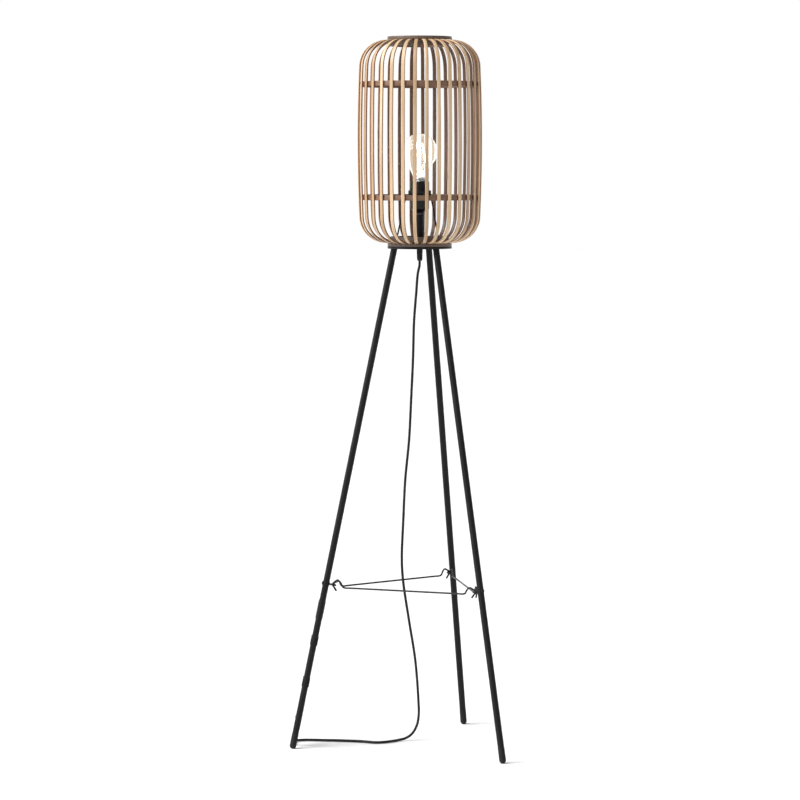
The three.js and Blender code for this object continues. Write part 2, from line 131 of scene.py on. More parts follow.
# The room is brightest near eye level and dimmer overhead.
world = bpy.data.worlds.new("white_room")
world.use_nodes = True
scene.world = world
tree = world.node_tree
height = add(tree, "SeparateXYZ", {0: add(tree, "TexCoord").outputs["Generated"]}).outputs["Z"]
room = add(tree, "ValToRGB", {"Fac": height}, stops=[
    (0.0, (1.0, 1.0, 1.0, 1.0)), (0.1, (1.0, 1.0, 1.0, 1.0)), (0.35, (0.3, 0.3, 0.31, 1.0))])
tree.links.new(room.outputs["Color"], tree.nodes["Background"].inputs["Color"])
tree.nodes["Background"].inputs["Strength"].default_value = 1.0


def studio_light(name, kind, bearing, height, distance, power, aim=0.6, **shape):
    """A light at a bearing seen from the lamp, 0 at the camera and growing to its right."""
    data = bpy.data.lights.new(name, kind)
    data.energy = power
    for key, value in shape.items():
        setattr(data, key, value)
    light = bpy.data.objects.new(name, data)
    turn = camera_turn + math.radians(bearing)
    place = axis + [distance * math.sin(turn), -distance * math.cos(turn), height]
    light.location = place
    level = math.hypot(*(place - axis)[:2])
    light.rotation_euler = (math.atan2(level, height - aim), 0.0, turn)
    scene.collection.objects.link(light)


studio_light("key_sun", "SUN", -66, 3.2, 3.6, 5.0, aim=0.0, angle=math.radians(60))
studio_light("tall_softbox", "AREA", -72, 2.3, 2.6, 30, aim=0.9, shape="RECTANGLE", size=0.9, size_y=2.0)
studio_light("fill_softbox", "AREA", 70, 2.6, 3.2, 5, aim=0.8, shape="RECTANGLE", size=1.6, size_y=1.6)

# ---------- mains cord ----------
# Round two-core flex in black PVC, 4.8 mm thick, out of the grip under the head plate. It hangs
# to the floor, runs to the left foot, and its spare length is folded in a hank strapped up the
# leg, between the in-line switch and the plug.

plate_under = plate_low.z
plate_top = plate_high.z
foot_spread = 0.2365
head_spread = 0.047
leg_radius = 0.0059
leg_bearings = {"left": -60.0, "right": 60.0, "back": 180.0}


def bearing(degrees):
    """The level unit vector at an angle round the lamp: 0 is -Y, and it grows toward +X."""
    a = math.radians(degrees)
    return np.array([math.sin(a), -math.cos(a), 0.0])


def leg_frame(degrees):
    """A leg's foot point and three unit vectors: across it, in toward the lamp, and up it."""
    radial = bearing(degrees)
    lean = math.atan((foot_spread - head_spread) / plate_under)
    upright = np.array([0.0, 0.0, 1.0])
    inward = -radial * math.cos(lean) - upright * math.sin(lean)
    up = -radial * math.sin(lean) + upright * math.cos(lean)
    return axis + radial * foot_spread, np.cross(inward, up), inward, up


# The stow frame stands on the left foot: up the leg, out from it and across square to both.
stow_foot, _, _, stow_up = leg_frame(leg_bearings["left"])
stow_out = bearing(201.4)
stow_out = stow_out - stow_up * (stow_out @ stow_up)
stow_out = stow_out / np.linalg.norm(stow_out)
stow_across = np.cross(stow_out, stow_up)
# How far out the spare cord stands, then where its switch, hank and plug lie up the leg.
out = 0.0243
switch_start = 0.033
switch_length = 0.056
hank_start = 0.0893
hank_length = 0.150
plug_start = 0.2396


def stowed(points):
    """Points given as across, out and up, carried onto the left leg."""
    points = np.asarray(points)
    return stow_foot + points @ np.array([stow_across, stow_out, stow_up])


cord_radius = 0.0024
grip_low, grip_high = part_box("cord_grip")
exit_height = grip_low.z - 0.0003

# From the grip to the floor: across and back from the lamp's axis, and a share of the height.
hang = np.array([
    [0.0, 0.0, 1.0], [-0.0004, 0.0, 0.99], [-0.0033, 0.0005, 0.975], [-0.0066, 0.0016, 0.93],
    [-0.0102, 0.004, 0.878], [-0.0123, 0.008, 0.796], [-0.0156, 0.013, 0.717],
    [-0.0195, 0.018, 0.631], [-0.0265, 0.022, 0.549], [-0.0302, 0.027, 0.464],
    [-0.033, 0.032, 0.381], [-0.0306, 0.0344, 0.336], [-0.0198, 0.039, 0.253],
    [-0.0082, 0.0425, 0.169], [-0.0024, 0.0446, 0.085], [-0.0018, 0.045, 0.0538],
    [-0.0054, 0.045, 0.0314], [-0.0145, 0.044, 0.014], [-0.026, 0.0415, 0.0055]])
hang[:, 2] = hang[:, 2] * exit_height
# Along the floor, as shares of the foot spread.
run = foot_spread * np.array([
    [-0.161, 0.152], [-0.237, 0.08], [-0.334, 0.038], [-0.448, 0.085], [-0.592, 0.118],
    [-0.748, 0.14], [-0.896, 0.152], [-0.943, 0.14], [-0.972, 0.11], [-0.982, 0.068],
    [-0.982, 0.038]])
run = np.column_stack((run, np.full(len(run), cord_radius + 0.00025)))
level_turn = np.array([
    [math.cos(camera_turn), math.sin(camera_turn), 0.0],
    [-math.sin(camera_turn), math.cos(camera_turn), 0.0],
    [0.0, 0.0, 1.0]])
drop = np.vstack((hang, run)) @ level_turn + axis

# Up to the switch, through it, then the hank: one long fold, two runs a cord apart.
to_switch = [[0, out + 0.0095, 0.0082], [0, out + 0.0026, 0.015], [0, out, 0.024], [0, out, 0.0327],
             [0, out, 0.06], [0, out, hank_start]]
inner = 0.0096
outer = 0.039
layer = 0.00245
fold_low = hank_start + 0.0291
fold_high = hank_start + 0.1209
fold_radius = (outer - inner) / 2
fold_middle = (outer + inner) / 2
arc = np.radians(np.arange(150, -1, -30))
top_fold = np.column_stack((
    np.full(6, -layer), fold_middle + fold_radius * np.cos(arc), fold_high + fold_radius * np.sin(arc)))
arc = np.radians(np.arange(-30, -181, -30))
bottom_fold = np.column_stack((
    np.full(6, layer), fold_middle + fold_radius * np.cos(arc), fold_low + fold_radius * np.sin(arc)))
hank_in = [[-0.0012, out, hank_start + 0.006], [-layer, out - 0.0015, hank_start + 0.013],
           [-layer, out - 0.0075, hank_start + 0.023], [-layer, out - 0.0128, hank_start + 0.034],
           [-layer, inner, hank_start + 0.046], [-layer, inner, fold_high - 0.02],
           [-layer, inner, fold_high]]
across_run = [[-0.0012, outer, fold_high - 0.034], [0.0012, outer, fold_low + 0.034],
              [layer, outer, fold_low]]
hank_end = hank_start + hank_length
hank_out = [[layer, inner, fold_low + 0.02], [layer, inner, hank_end - 0.046],
            [layer, out - 0.0128, hank_end - 0.034], [layer, out - 0.0075, hank_end - 0.023],
            [layer, out - 0.0015, hank_end - 0.013], [0.0012, out, hank_end - 0.006],
            [0, out, hank_end], [0, out, plug_start + 0.004]]
spare = stowed(np.vstack((to_switch, hank_in, top_fold, across_run, bottom_fold, hank_out)))
route = np.vstack((drop, spare))


def bezier_handles(points):
    """Centripetal spline through points as Bezier handles: knots grow by the square root of each
    step, the slope at a point blends its two steps, and a handle is a third of the way."""
    before = np.vstack((2 * points[:1] - points[1:2], points))
    after = np.vstack((points, 2 * points[-1:] - points[-2:-1]))
    steps = after - before
    knots = np.sqrt(np.linalg.norm(steps, axis=1, keepdims=True))
    first, second = knots[:-1], knots[1:]
    slope = steps[:-1] / first - (steps[:-1] + steps[1:]) / (first + second) + steps[1:] / second
    return points - slope * first / 3, points + slope * second / 3


def along(points, steps=8):
    """A dense line through points: each step is p(1-t)^3 + 3h(1-t)^2 t + 3k(1-t)t^2 + q t^3."""
    left, right = bezier_handles(points)
    t = np.linspace(0, 1, steps, endpoint=False)[None, :, None]
    p, h, k, q = (a[:, None, :] for a in (points[:-1], right[:-1], left[1:], points[1:]))
    line = p * (1 - t) ** 3 + 3 * h * (1 - t) ** 2 * t + 3 * k * (1 - t) * t ** 2 + q * t ** 3
    return np.vstack((line.reshape(-1, 3), points[-1:]))


cord_curve = bpy.data.curves.new("cord", "CURVE")
cord_curve.dimensions = "3D"
cord_curve.bevel_depth = cord_radius
cord_curve.bevel_resolution = 5
cord_curve.resolution_u = 10
cord_curve.use_fill_caps = True
spline = cord_curve.splines.new("BEZIER")
spline.bezier_points.add(len(route) - 1)
left_handles, right_handles = bezier_handles(route)
spline.bezier_points.foreach_set("co", route.ravel())
for name, values in (("handle_left", left_handles), ("handle_right", right_handles)):
    spline.bezier_points.foreach_set(name, values.ravel())
cord = bpy.data.objects.new("cord_flex", cord_curve)
scene.collection.objects.link(cord)
cord_line = along(route)


def skin(name, *grids, sharp=40, offset=0.0):
    """A smooth skin over grids of points (rows, columns, 3): each cell is a quad, rows or columns
    that meet are welded, and the UV map is the distance along the columns and rows, in metres."""
    points, faces, maps, start = [], [], [], 0
    for grid in grids:
        rows, columns = grid.shape[:2]
        cell = (np.arange(rows - 1)[:, None] * columns + np.arange(columns - 1)).ravel()
        faces.append(start + np.stack((cell, cell + 1, cell + columns + 1, cell + columns), axis=1))
        u = np.linalg.norm(np.diff(grid, axis=1), axis=2).max(axis=0)
        v = np.linalg.norm(np.diff(grid, axis=0), axis=2).mean(axis=1)
        u = np.concatenate(([0.0], np.cumsum(u))) + offset
        v = np.concatenate(([0.0], np.cumsum(v)))
        maps.append(np.stack(np.meshgrid(u, v), axis=-1).reshape(-1, 2))
        points.append(grid.reshape(-1, 3))
        start += rows * columns
    faces = np.vstack(faces)
    mesh = bpy.data.meshes.new(name)
    mesh.from_pydata(np.vstack(points), [], faces)
    mesh.uv_layers.new(name="UVMap").data.foreach_set("uv", np.vstack(maps)[faces.ravel()].ravel())
    shell = bmesh.new()
    shell.from_mesh(mesh)
    bmesh.ops.remove_doubles(shell, verts=shell.verts, dist=2e-6)
    bmesh.ops.dissolve_degenerate(shell, edges=shell.edges, dist=1e-6)
    bmesh.ops.recalc_face_normals(shell, faces=shell.faces)
    shell.to_mesh(mesh)
    shell.free()
    mesh.shade_smooth()
    mesh.set_sharp_from_angle(angle=math.radians(sharp))
    piece = bpy.data.objects.new(name, mesh)
    scene.collection.objects.link(piece)
    return piece


def fit(piece, material, slot, *nodes, body="root"):
    """Gives a piece its finish, fixes it to a body and lets it stand for its CAD nodes."""
    piece.data.materials.append(material)
    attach(piece, body)
    if nodes:
        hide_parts(*nodes)


def tube(path, radius, side, sides=24):
    """A round skin along a path: rings of the radius in the plane of a steady side direction and
    its cross with the path's direction, drawn in to a point at both ends."""
    path = np.vstack((path[:1], path, path[-1:]))
    ahead = np.gradient(path[1:-1], axis=0)
    ahead = np.vstack((ahead[:1], ahead, ahead[-1:]))
    ahead = ahead / np.linalg.norm(ahead, axis=1, keepdims=True)
    side = side - ahead * (ahead @ side)[:, None]
    side = side / np.linalg.norm(side, axis=1, keepdims=True)
    other = np.cross(ahead, side)
    reach = np.concatenate(([0.0], np.broadcast_to(radius, len(path) - 2), [0.0]))
    turn = np.linspace(0, 2 * np.pi, sides + 1)[None, :, None]
    ring = np.cos(turn) * side[:, None, :] + np.sin(turn) * other[:, None, :]
    return path[:, None, :] + reach[:, None, None] * ring


def stacked(outlines, heights, origin, x, y, z):
    """A skin through flat closed outlines (n, 2) drawn on x and y, each at its height on z."""
    flat = np.asarray(outlines)
    heights = np.broadcast_to(np.asarray(heights, float).reshape(len(flat), -1), flat.shape[:2])
    return origin + flat[..., :1] * x + flat[..., 1:] * y + heights[..., None] * z


def rounded(width, length, radius, steps=6):
    """A rectangle about its middle, its corners quarter circles of the radius, closed on itself."""
    turn = np.radians(np.concatenate([np.linspace(a, a + 90, steps) for a in (0, 90, 180, 270)]))
    corner_x = np.repeat([1, -1, -1, 1], steps) * (width / 2 - radius)
    corner_y = np.repeat([1, 1, -1, -1], steps) * (length / 2 - radius)
    outline = np.column_stack((corner_x + radius * np.cos(turn), corner_y + radius * np.sin(turn)))
    return np.vstack((outline, outline[:1]))


def mottled(name, stops, patches, gloss=None, grain=None, strength=0.0, depth=0.0002,
            space="Object", stretch=None, **sockets):
    """A finish from noise, given as (scale, detail, roughness): the patches blend the colours in
    stops, and the roughness between gloss's two ends; the grain, or else the patches, raises it."""
    material, tree, shader = new_material(name, **sockets)
    settings = ("Scale", "Detail", "Roughness")
    where = add(tree, "TexCoord").outputs[space]
    if stretch:
        where = add(tree, "Mapping", {"Vector": where, "Scale": stretch}).outputs["Vector"]
    cloud = add(tree, "TexNoise", {"Vector": where, **dict(zip(settings, patches))}).outputs["Fac"]
    tint = add(tree, "ValToRGB", {"Fac": cloud}, stops=stops)
    link(tree, shader, tint.outputs["Color"])
    if gloss:
        shine = add(tree, "MapRange", {"Value": cloud, "To Min": gloss[0], "To Max": gloss[1]})
        link(tree, shader, gloss=shine.outputs["Result"])
    if grain:
        cloud = add(tree, "TexNoise", {"Vector": where, **dict(zip(settings, grain))}).outputs["Fac"]
    if strength:
        relief = add(tree, "Bump", {"Height": cloud, "Strength": strength, "Distance": depth})
        link(tree, shader, bump=relief.outputs["Normal"])
    return material


# Black PVC as extruded: soft satin gloss, faint lengthwise unevenness and a few rubbed spots.
flex_pvc = mottled(
    "extruded_black_pvc", [(0.35, "#0C0C0C"), (0.75, "#161615")], patches=(45.0, 4.0),
    gloss=(0.34, 0.54), grain=(320.0, 2.0), strength=0.25,
    roughness=0.42, IOR=1.53, Specular_IOR_Level=0.2)

# The tapered strain reliefs are moulded on the flex at the switch and at the plug, with rings.
measured = np.concatenate(([0.0], np.cumsum(np.linalg.norm(np.diff(cord_line, axis=0), axis=1))))


def cord_stretch(start, end, count):
    """Points at even distances along the cord between two lengths measured from its exit."""
    at = np.linspace(start, end, count)
    return np.column_stack([np.interp(at, measured, cord_line[:, i]) for i in range(3)])


switch_at = measured[np.argmin(np.linalg.norm(cord_line - stowed([0, out, switch_start]), axis=1))]
taper = np.linspace(0, 1, 45)
ringed = 0.0028 + 0.0016 * taper + 0.0003 * np.sin(taper * 9 * 2 * np.pi)
plug_relief = skin("plug_strain_relief", tube(
    cord_stretch(measured[-1] - 0.026, measured[-1] - 0.002, 45), ringed, stow_out), sharp=60)
switch_relief = skin("switch_strain_relief", tube(
    cord_stretch(switch_at - 0.021, switch_at + 0.002, 45), ringed, stow_across), sharp=60)

# The moulded parts are a harder black: fine matt spark-eroded grain with a low even sheen.
moulded = mottled(
    "moulded_black_plastic", [(0.3, "#0C0C0C"), (0.75, "#151514")], patches=(60.0, 3.0),
    gloss=(0.42, 0.58), grain=(1400.0, 2.0), strength=0.3, depth=0.0001,
    roughness=0.5, IOR=1.5, Specular_IOR_Level=0.25)

# In-line rocker switch: a narrow two-part shell, 56 x 22 x 11 mm, with a pocket for the rocker.
switch_thickness = 0.011
switch_shift = 0.0008
switch_middle = stowed([switch_shift, out, switch_start + switch_length / 2])
face = -switch_thickness / 2
shell = [(0.0, 0.0, 0.001, -face), (0.0185, 0.0525, 0.004, -face), (0.0211, 0.0551, 0.0045, -face - 0.0004),
         (0.022, 0.056, 0.005, -face - 0.0014), (0.022, 0.056, 0.005, 0.0003),
         (0.0212, 0.0552, 0.0048, 0.0001), (0.0212, 0.0552, 0.0048, -0.0001),
         (0.022, 0.056, 0.005, -0.0003), (0.022, 0.056, 0.005, face + 0.0014),
         (0.0211, 0.0551, 0.0045, face + 0.0004), (0.0185, 0.0525, 0.004, face),
         (0.0094, 0.0176, 0.0008, face), (0.0088, 0.017, 0.0006, face + 0.0004),
         (0.0088, 0.017, 0.0006, face + 0.006), (0.0, 0.0, 0.0, face + 0.006)]
outlines = [rounded(w, l, r) if w else np.zeros((25, 2)) for w, l, r, _ in shell]
switch_body = skin("switch_shell", stacked(
    outlines, [h for *_, h in shell], switch_middle, stow_out, stow_up, stow_across), sharp=30)

# The rocker stands tilted in its pocket, dished between its two ends.
rocker_tilt = math.radians(8)
rocker_pivot = switch_middle + stow_across * (face + 0.0022)
rocker_up = stow_up * math.cos(rocker_tilt) + stow_across * math.sin(rocker_tilt)
rocker_face = stow_across * math.cos(rocker_tilt) - stow_up * math.sin(rocker_tilt)
key = [(0.0, 0.0, 0.0, 0.0008), (0.0076, 0.0156, 0.0006, 0.0008), (0.008, 0.016, 0.0006, 0.0004),
       (0.008, 0.016, 0.0006, -0.0026), (0.0077, 0.0157, 0.0006, -0.003), (0.007, 0.015, 0.0006, -0.0031),
       (0.004, 0.0075, 0.0006, -0.0031), (0.0, 0.0, 0.0, -0.0031)]
outlines = np.array([rounded(w, l, r) if w else np.zeros((25, 2)) for w, l, r, _ in key])
depths = np.array([h for *_, h in key])[:, None] + np.zeros((1, 25))
depths[3:] -= 8.0 * outlines[3:, :, 1] ** 2 - 0.0003
rocker = skin("switch_rocker_key", stacked(
    outlines, depths, rocker_pivot, stow_out, rocker_up, rocker_face), sharp=30)

# The key is a shade lighter and glossier than its shell, as a part that is pressed and polished.
key_plastic = mottled(
    "polished_charcoal_plastic", [(0.35, "#262626"), (0.7, "#343433")], patches=(220.0, 4.0),
    gloss=(0.22, 0.42), roughness=0.3, IOR=1.5)

# Two-pin plug: a flat moulded body that swells from the flex to the pin face, with a grip waist.
plug_face = 0.036
plug_shape = np.array([
    [0.004, 0.0], [0.0062, 0.002], [0.008, 0.0075], [0.0125, 0.0125], [0.0166, 0.0175],
    [0.0173, 0.022], [0.0168, 0.0265], [0.0175, 0.031], [0.0174, 0.0346], [0.0164, 0.036], [0.0, 0.036]])
plug_outline = np.vstack((plug_shape, plug_shape[::-1][1:] * [-1, 1], plug_shape[:1]))
plug_shells = [(0.0, -0.0067), (0.8, -0.0067), (0.93, -0.0063), (0.985, -0.0052), (1.0, -0.0036),
               (1.0, 0.0036), (0.985, 0.0052), (0.93, 0.0063), (0.8, 0.0067), (0.0, 0.0067)]
outlines = [[0, 0.02] + (plug_outline - [0, 0.02]) * s for s, _ in plug_shells]
plug_origin = stowed([0, out, plug_start])
plug = skin("plug_body", stacked(
    outlines, [h for _, h in plug_shells], plug_origin, stow_out, stow_up, stow_across), sharp=30)


def turned(profile, centre=axis, sides=96, x=(1, 0, 0), y=(0, 1, 0), z=(0, 0, 1)):
    """A profile of radius and height turned about z through a centre, seam closed."""
    profile = np.asarray(profile, float)
    turn = np.linspace(0, 2 * np.pi, sides + 1)[None, :, None]
    level = np.cos(turn) * np.asarray(x, float) + np.sin(turn) * np.asarray(y, float)
    return centre + profile[:, None, :1] * level + profile[:, None, 1:] * np.asarray(z, float)


def softened(points, radius, steps=4):
    """A line of straight stretches whose corners are cut back by the radius, at most half of the
    shorter side, and joined by a parabola: a(1-t)^2 + 2bt(1-t) + ct^2."""
    points = np.asarray(points, float)
    back = points[:-2] - points[1:-1]
    on = points[2:] - points[1:-1]
    back_length = np.linalg.norm(back, axis=1, keepdims=True)
    on_length = np.linalg.norm(on, axis=1, keepdims=True)
    reach = np.minimum(radius, np.minimum(back_length, on_length) / 2)
    a = (points[1:-1] + back / back_length * reach)[:, None, :]
    b = points[1:-1][:, None, :]
    d = (points[1:-1] + on / on_length * reach)[:, None, :]
    t = np.linspace(0, 1, steps)[None, :, None]
    corners = a * (1 - t) ** 2 + 2 * b * t * (1 - t) + d * t ** 2
    return np.vstack((points[:1], corners.reshape(-1, points.shape[1]), points[-1:]))


# Two round pins, plated brass, 4 mm thick and rounded at the tip.
pin_profile = softened([[0, -0.002], [0.002, -0.002], [0.002, 0.017], [0, 0.0188]], 0.0018, 6)
pin_grids = [turned(pin_profile, plug_origin + stow_up * plug_face + stow_out * s * 0.0095, 28,
                    stow_out, stow_across, stow_up) for s in (-1, 1)]
pins = skin("plug_pins", *pin_grids)

# Nickel plate over brass: bright, with fine drag marks that dull it in patches.
nickel, tree, shader = new_material("nickel_plated_brass", 0.24, 1.0)
where = add(tree, "TexCoord").outputs["Object"]
marks = add(tree, "TexNoise", {"Vector": where, "Scale": 900.0, "Detail": 3.0})
patches = add(tree, "TexNoise", {"Vector": where, "Scale": 120.0, "Detail": 4.0})
tint = add(tree, "ValToRGB", {"Fac": patches.outputs["Fac"]}, stops=[
    (0.3, "#B9B3A6"), (0.7, "#D6D1C6")])
gloss = add(tree, "MapRange", {"Value": marks.outputs["Fac"], "To Min": 0.16, "To Max": 0.36})
bump = add(tree, "Bump", {"Height": marks.outputs["Fac"], "Strength": 0.12, "Distance": 0.0001})
link(tree, shader, tint.outputs["Color"], gloss.outputs["Result"], bump.outputs["Normal"])

# Two hook-and-loop straps, 14 mm wide, go round the hank and the leg.
strap_turn = np.linspace(0, 2 * np.pi, 73)
strap_across = 0.0064 * np.sin(strap_turn)
strap_out = 0.0064 * -np.cos(strap_turn) + np.where(np.cos(strap_turn) < 0, 0.0358, 0.0)
strap_section = rounded(0.0008, 0.014, 0.00035, 4)


def strap(name, height):
    """A flat rounded section carried round the leg and the hank, edge to edge up the leg."""
    level = np.column_stack((strap_across, strap_out))
    ahead = np.gradient(np.vstack((level[-2], level, level[1])), axis=0)[1:-1]
    ahead = ahead / np.linalg.norm(ahead, axis=1, keepdims=True)
    proud = np.column_stack((ahead[:, 1], -ahead[:, 0]))
    ring = level[:, None, :] + strap_section[None, :, :1] * proud[:, None, :]
    up = np.broadcast_to(height + strap_section[None, :, 1], ring.shape[:2])
    return skin(name, stowed(np.dstack((ring, up)).reshape(-1, 3)).reshape(*ring.shape[:2], 3))


strap_low = strap("strap_low", hank_start + 0.034)
strap_high = strap("strap_high", hank_start + 0.112)

# Woven nylon with a looped face: matt black with a fuzzy crosswise weave, 1 mm, drawn coarse.
nylon, tree, shader = new_material("looped_black_nylon", 0.85, IOR=1.53, Specular_IOR_Level=0.2)
where = add(tree, "TexCoord").outputs["UV"]
loops = add(tree, "TexVoronoi", {"Vector": where, "Scale": 1000.0})
fuzz = add(tree, "TexNoise", {"Vector": where, "Scale": 2500.0, "Detail": 2.0})
tint = add(tree, "ValToRGB", {"Fac": loops.outputs["Distance"]}, stops=[
    (0.1, "#090909"), (0.8, "#181818")])
bump = add(tree, "Bump", {"Height": fuzz.outputs["Fac"], "Strength": 0.6, "Distance": 0.0003})
link(tree, shader, tint.outputs["Color"], bump=bump.outputs["Normal"])

fit(cord, flex_pvc, "cord_sheath", "cord", "cord_hank")
fit(plug_relief, moulded, "plug_plastic")
fit(switch_relief, moulded, "black_plastic")
fit(switch_body, moulded, "black_plastic", "switch_body")
fit(rocker, key_plastic, "rocker_plastic", "switch_rocker", body="rocker")
fit(plug, moulded, "plug_plastic", "plug")
fit(pins, nickel, "cap_metal")
fit(strap_low, nylon, "cord_sheath")
fit(strap_high, nylon, "cord_sheath")

# ---------- three legs ----------
# Straight steel tube, 11.8 mm thick, powder-coated satin black. Each leans in to the head plate
# and stands on a pressed-on foot cap with a rounded end.

# Baked powder flows to a fine orange peel, about 1.5 mm, and is dusty where it is handled.
powder = mottled(
    "powder_coated_black_steel", [(0.35, "#0B0B0C"), (0.75, "#151515")], patches=(22.0, 5.0, 0.6),
    gloss=(0.34, 0.5), grain=(700.0, 1.0), strength=0.22, depth=0.00015,
    roughness=0.36, IOR=1.45, Specular_IOR_Level=0.2)

# The foot caps are soft black rubber: dull, with scuffs round the edge that meets the floor.
rubber, tree, shader = new_material("moulded_black_rubber", 0.7, IOR=1.52, Specular_IOR_Level=0.25)
where = add(tree, "TexCoord").outputs["Object"]
scuffs = add(tree, "TexNoise", {"Vector": where, "Scale": 260.0, "Detail": 5.0, "Roughness": 0.7})
low = add(tree, "SeparateXYZ", {0: where}).outputs["Z"]
near_floor = add(tree, "MapRange", {"Value": low, "From Min": 0.0, "From Max": 0.012,
                                    "To Min": 0.75, "To Max": 0.2})
worn = add(tree, "Math", {0: scuffs.outputs["Fac"], 1: near_floor.outputs["Result"]},
           operation="MULTIPLY")
tint = add(tree, "ValToRGB", {"Fac": worn.outputs["Value"]}, stops=[(0.1, "#0D0D0D"), (0.5, "#1C1B1A")])
bump = add(tree, "Bump", {"Height": scuffs.outputs["Fac"], "Strength": 0.3, "Distance": 0.0002})
link(tree, shader, tint.outputs["Color"], bump=bump.outputs["Normal"])

foot_cap_radius = leg_radius + 0.00025
foot_flat_radius = 0.003
foot_cap_length = 0.028
leg_top = plate_under - 0.0003

for side, degrees in leg_bearings.items():
    foot, across, inward, up = leg_frame(degrees)
    length = leg_top / up[2]
    leg_rows = np.array([[0, 0.012], [leg_radius, 0.012], [leg_radius, 0.3], [leg_radius, 0.6],
                         [leg_radius, length], [0, length]])
    leg_grid = turned(leg_rows, foot, 40, across, inward, up)
    rise = (leg_top - leg_grid[-2:, :, 2:]) / up[2]
    leg_grid[-2:] = leg_grid[-2:] + rise * up
    fit(skin(f"leg_{side}_tube", leg_grid), powder, "black_steel", f"leg_{side}")

    turn = np.radians(np.linspace(0, 90, 12))
    centre = math.sqrt(foot_cap_radius ** 2 - foot_flat_radius ** 2) / up[2]
    dome = np.column_stack((foot_cap_radius * np.sin(turn), centre - foot_cap_radius * np.cos(turn)))
    sleeve = softened([[foot_cap_radius, centre], [foot_cap_radius, foot_cap_length],
                       [leg_radius - 0.0003, foot_cap_length], [0, foot_cap_length]], 0.0003)
    cap_grid = turned(np.vstack((dome, sleeve[1:])), foot, 40, across, inward, up)
    cap_grid[..., 2] = np.maximum(cap_grid[..., 2], 0.0)
    fit(skin(f"foot_cap_{side}", cap_grid), rubber, "black_plastic")

# ---------- eye bolts and dome nuts ----------
# Blackened steel eye bolts through the legs at 304 mm, each drawn up by a dome nut on the
# outer side. The eyes lie square to the legs.

# Hot black oxide on bare steel: a dark bluish sheen, cloudy, with bright rubbed high spots.
blackened = mottled(
    "blackened_steel", [(0.35, "#0E0E0F"), (0.8, "#222222")], patches=(180.0, 5.0, 0.6),
    gloss=(0.24, 0.46), strength=0.15, roughness=0.34, metallic=0.1, Specular_IOR_Level=0.2)

eye_height = 0.3037
eye_ring_radius = 0.0052
eye_wire_radius = 0.0015
eye_reach = leg_radius + 0.0004 + eye_ring_radius + eye_wire_radius


def hexagon(count, corner):
    """How far a circle's points move out onto flats: 1 / cos of the angle from the nearest flat,
    held back to the corner's share by a chamfer."""
    turn = np.linspace(0, 2 * np.pi, count)
    return np.minimum(1 / np.cos((turn + np.pi / 6) % (np.pi / 3) - np.pi / 6), corner)


for side, degrees in leg_bearings.items():
    foot, across, inward, up = leg_frame(degrees)
    middle = foot + up * eye_height / up[2]
    turn = np.linspace(0, 2 * np.pi, 21)
    wire_profile = np.column_stack((
        eye_ring_radius + eye_wire_radius * np.cos(turn), eye_wire_radius * np.sin(turn)))
    eye = turned(wire_profile, middle + inward * eye_reach, 48, across, inward, up)
    shank = turned(softened([
        [0, -leg_radius - 0.001], [0.0024, -leg_radius - 0.001],
        [0.0024, leg_radius - 0.0002], [0.0034, leg_radius - 0.0002],
        [0.0034, leg_radius + 0.0006], [0.0021, leg_radius + 0.001],
        [0.0014, eye_reach - eye_ring_radius], [0, eye_reach - eye_ring_radius]], 0.0003),
        middle, 28, across, up, inward)
    fit(skin(f"eye_bolt_{side}_forged", eye, shank), blackened, "bolt_steel", f"eye_bolt_{side}")

    # Low dome nut: six flats below, a shallow dome above, standing on the tube.
    nut_base = leg_radius - 0.0004
    nut_rows = np.array([[0.0, nut_base], [0.0034, nut_base], [0.0034, nut_base + 0.0011],
                         [0.0031, nut_base + 0.0013]])
    nut = turned(nut_rows, middle, 48, across, up, -inward)
    flats = hexagon(49, 1.11)[None, :, None]
    spoke = nut - middle
    spoke_out = spoke - (spoke @ inward)[..., None] * inward
    nut = nut + spoke_out * (flats - 1)
    ball_turn = np.radians(np.linspace(0, 90, 9))
    ball = turned(np.column_stack((
        0.003 * np.cos(ball_turn), nut_base + 0.0013 + 0.0011 * np.sin(ball_turn))),
        middle, 48, across, up, -inward)
    fit(skin(f"dome_nut_{side}", np.vstack((nut, ball)), sharp=25), blackened, "bolt_steel")

# ---------- spreader rods ----------
# Three rods of 3.2 mm spring wire, hooked at both ends, with a hump over the eye's rim, and a
# prong down through it. They brace the legs in a triangle.

rod_radius = 0.0016
rod_shift = 0.00175
lean = math.atan((foot_spread - head_spread) / plate_under)
eye_axis = foot_spread - eye_height * math.tan(lean) - eye_reach * math.cos(lean)
eye_level = eye_height - eye_reach * math.sin(lean)
hook_seat = eye_ring_radius - eye_wire_radius - rod_radius - 0.0005
hook_axis = eye_axis - math.sqrt(max(0.0, hook_seat ** 2 - rod_shift ** 2))
half_span = hook_axis * math.sin(math.pi / 3) - rod_shift * math.cos(math.pi / 3)
rod_offset = hook_axis * math.cos(math.pi / 3) + rod_shift * math.sin(math.pi / 3)
hook = 0.001 * np.array([
    [6.7, -11], [3.015, -5.5], [-0.4, -1], [1.2, 2.4], [6.38, 5.472], [11.6, 7.2],
    [15.8, 3.24], [19.6, -3.29], [23.6, -4.7], [35.6, -4.7]])

# Drawn wire under a thin black lacquer: semi-gloss, streaked lengthwise and lighter where it rubs.
drawn_wire = mottled(
    "black_lacquered_spring_wire", [(0.3, "#0D0D0E"), (0.8, "#1F1F1F")], patches=(1.0, 4.0),
    gloss=(0.18, 0.36), strength=0.1, depth=0.0001, space="UV", stretch=(900.0, 14.0, 1.0),
    roughness=0.26, Specular_IOR_Level=0.2)

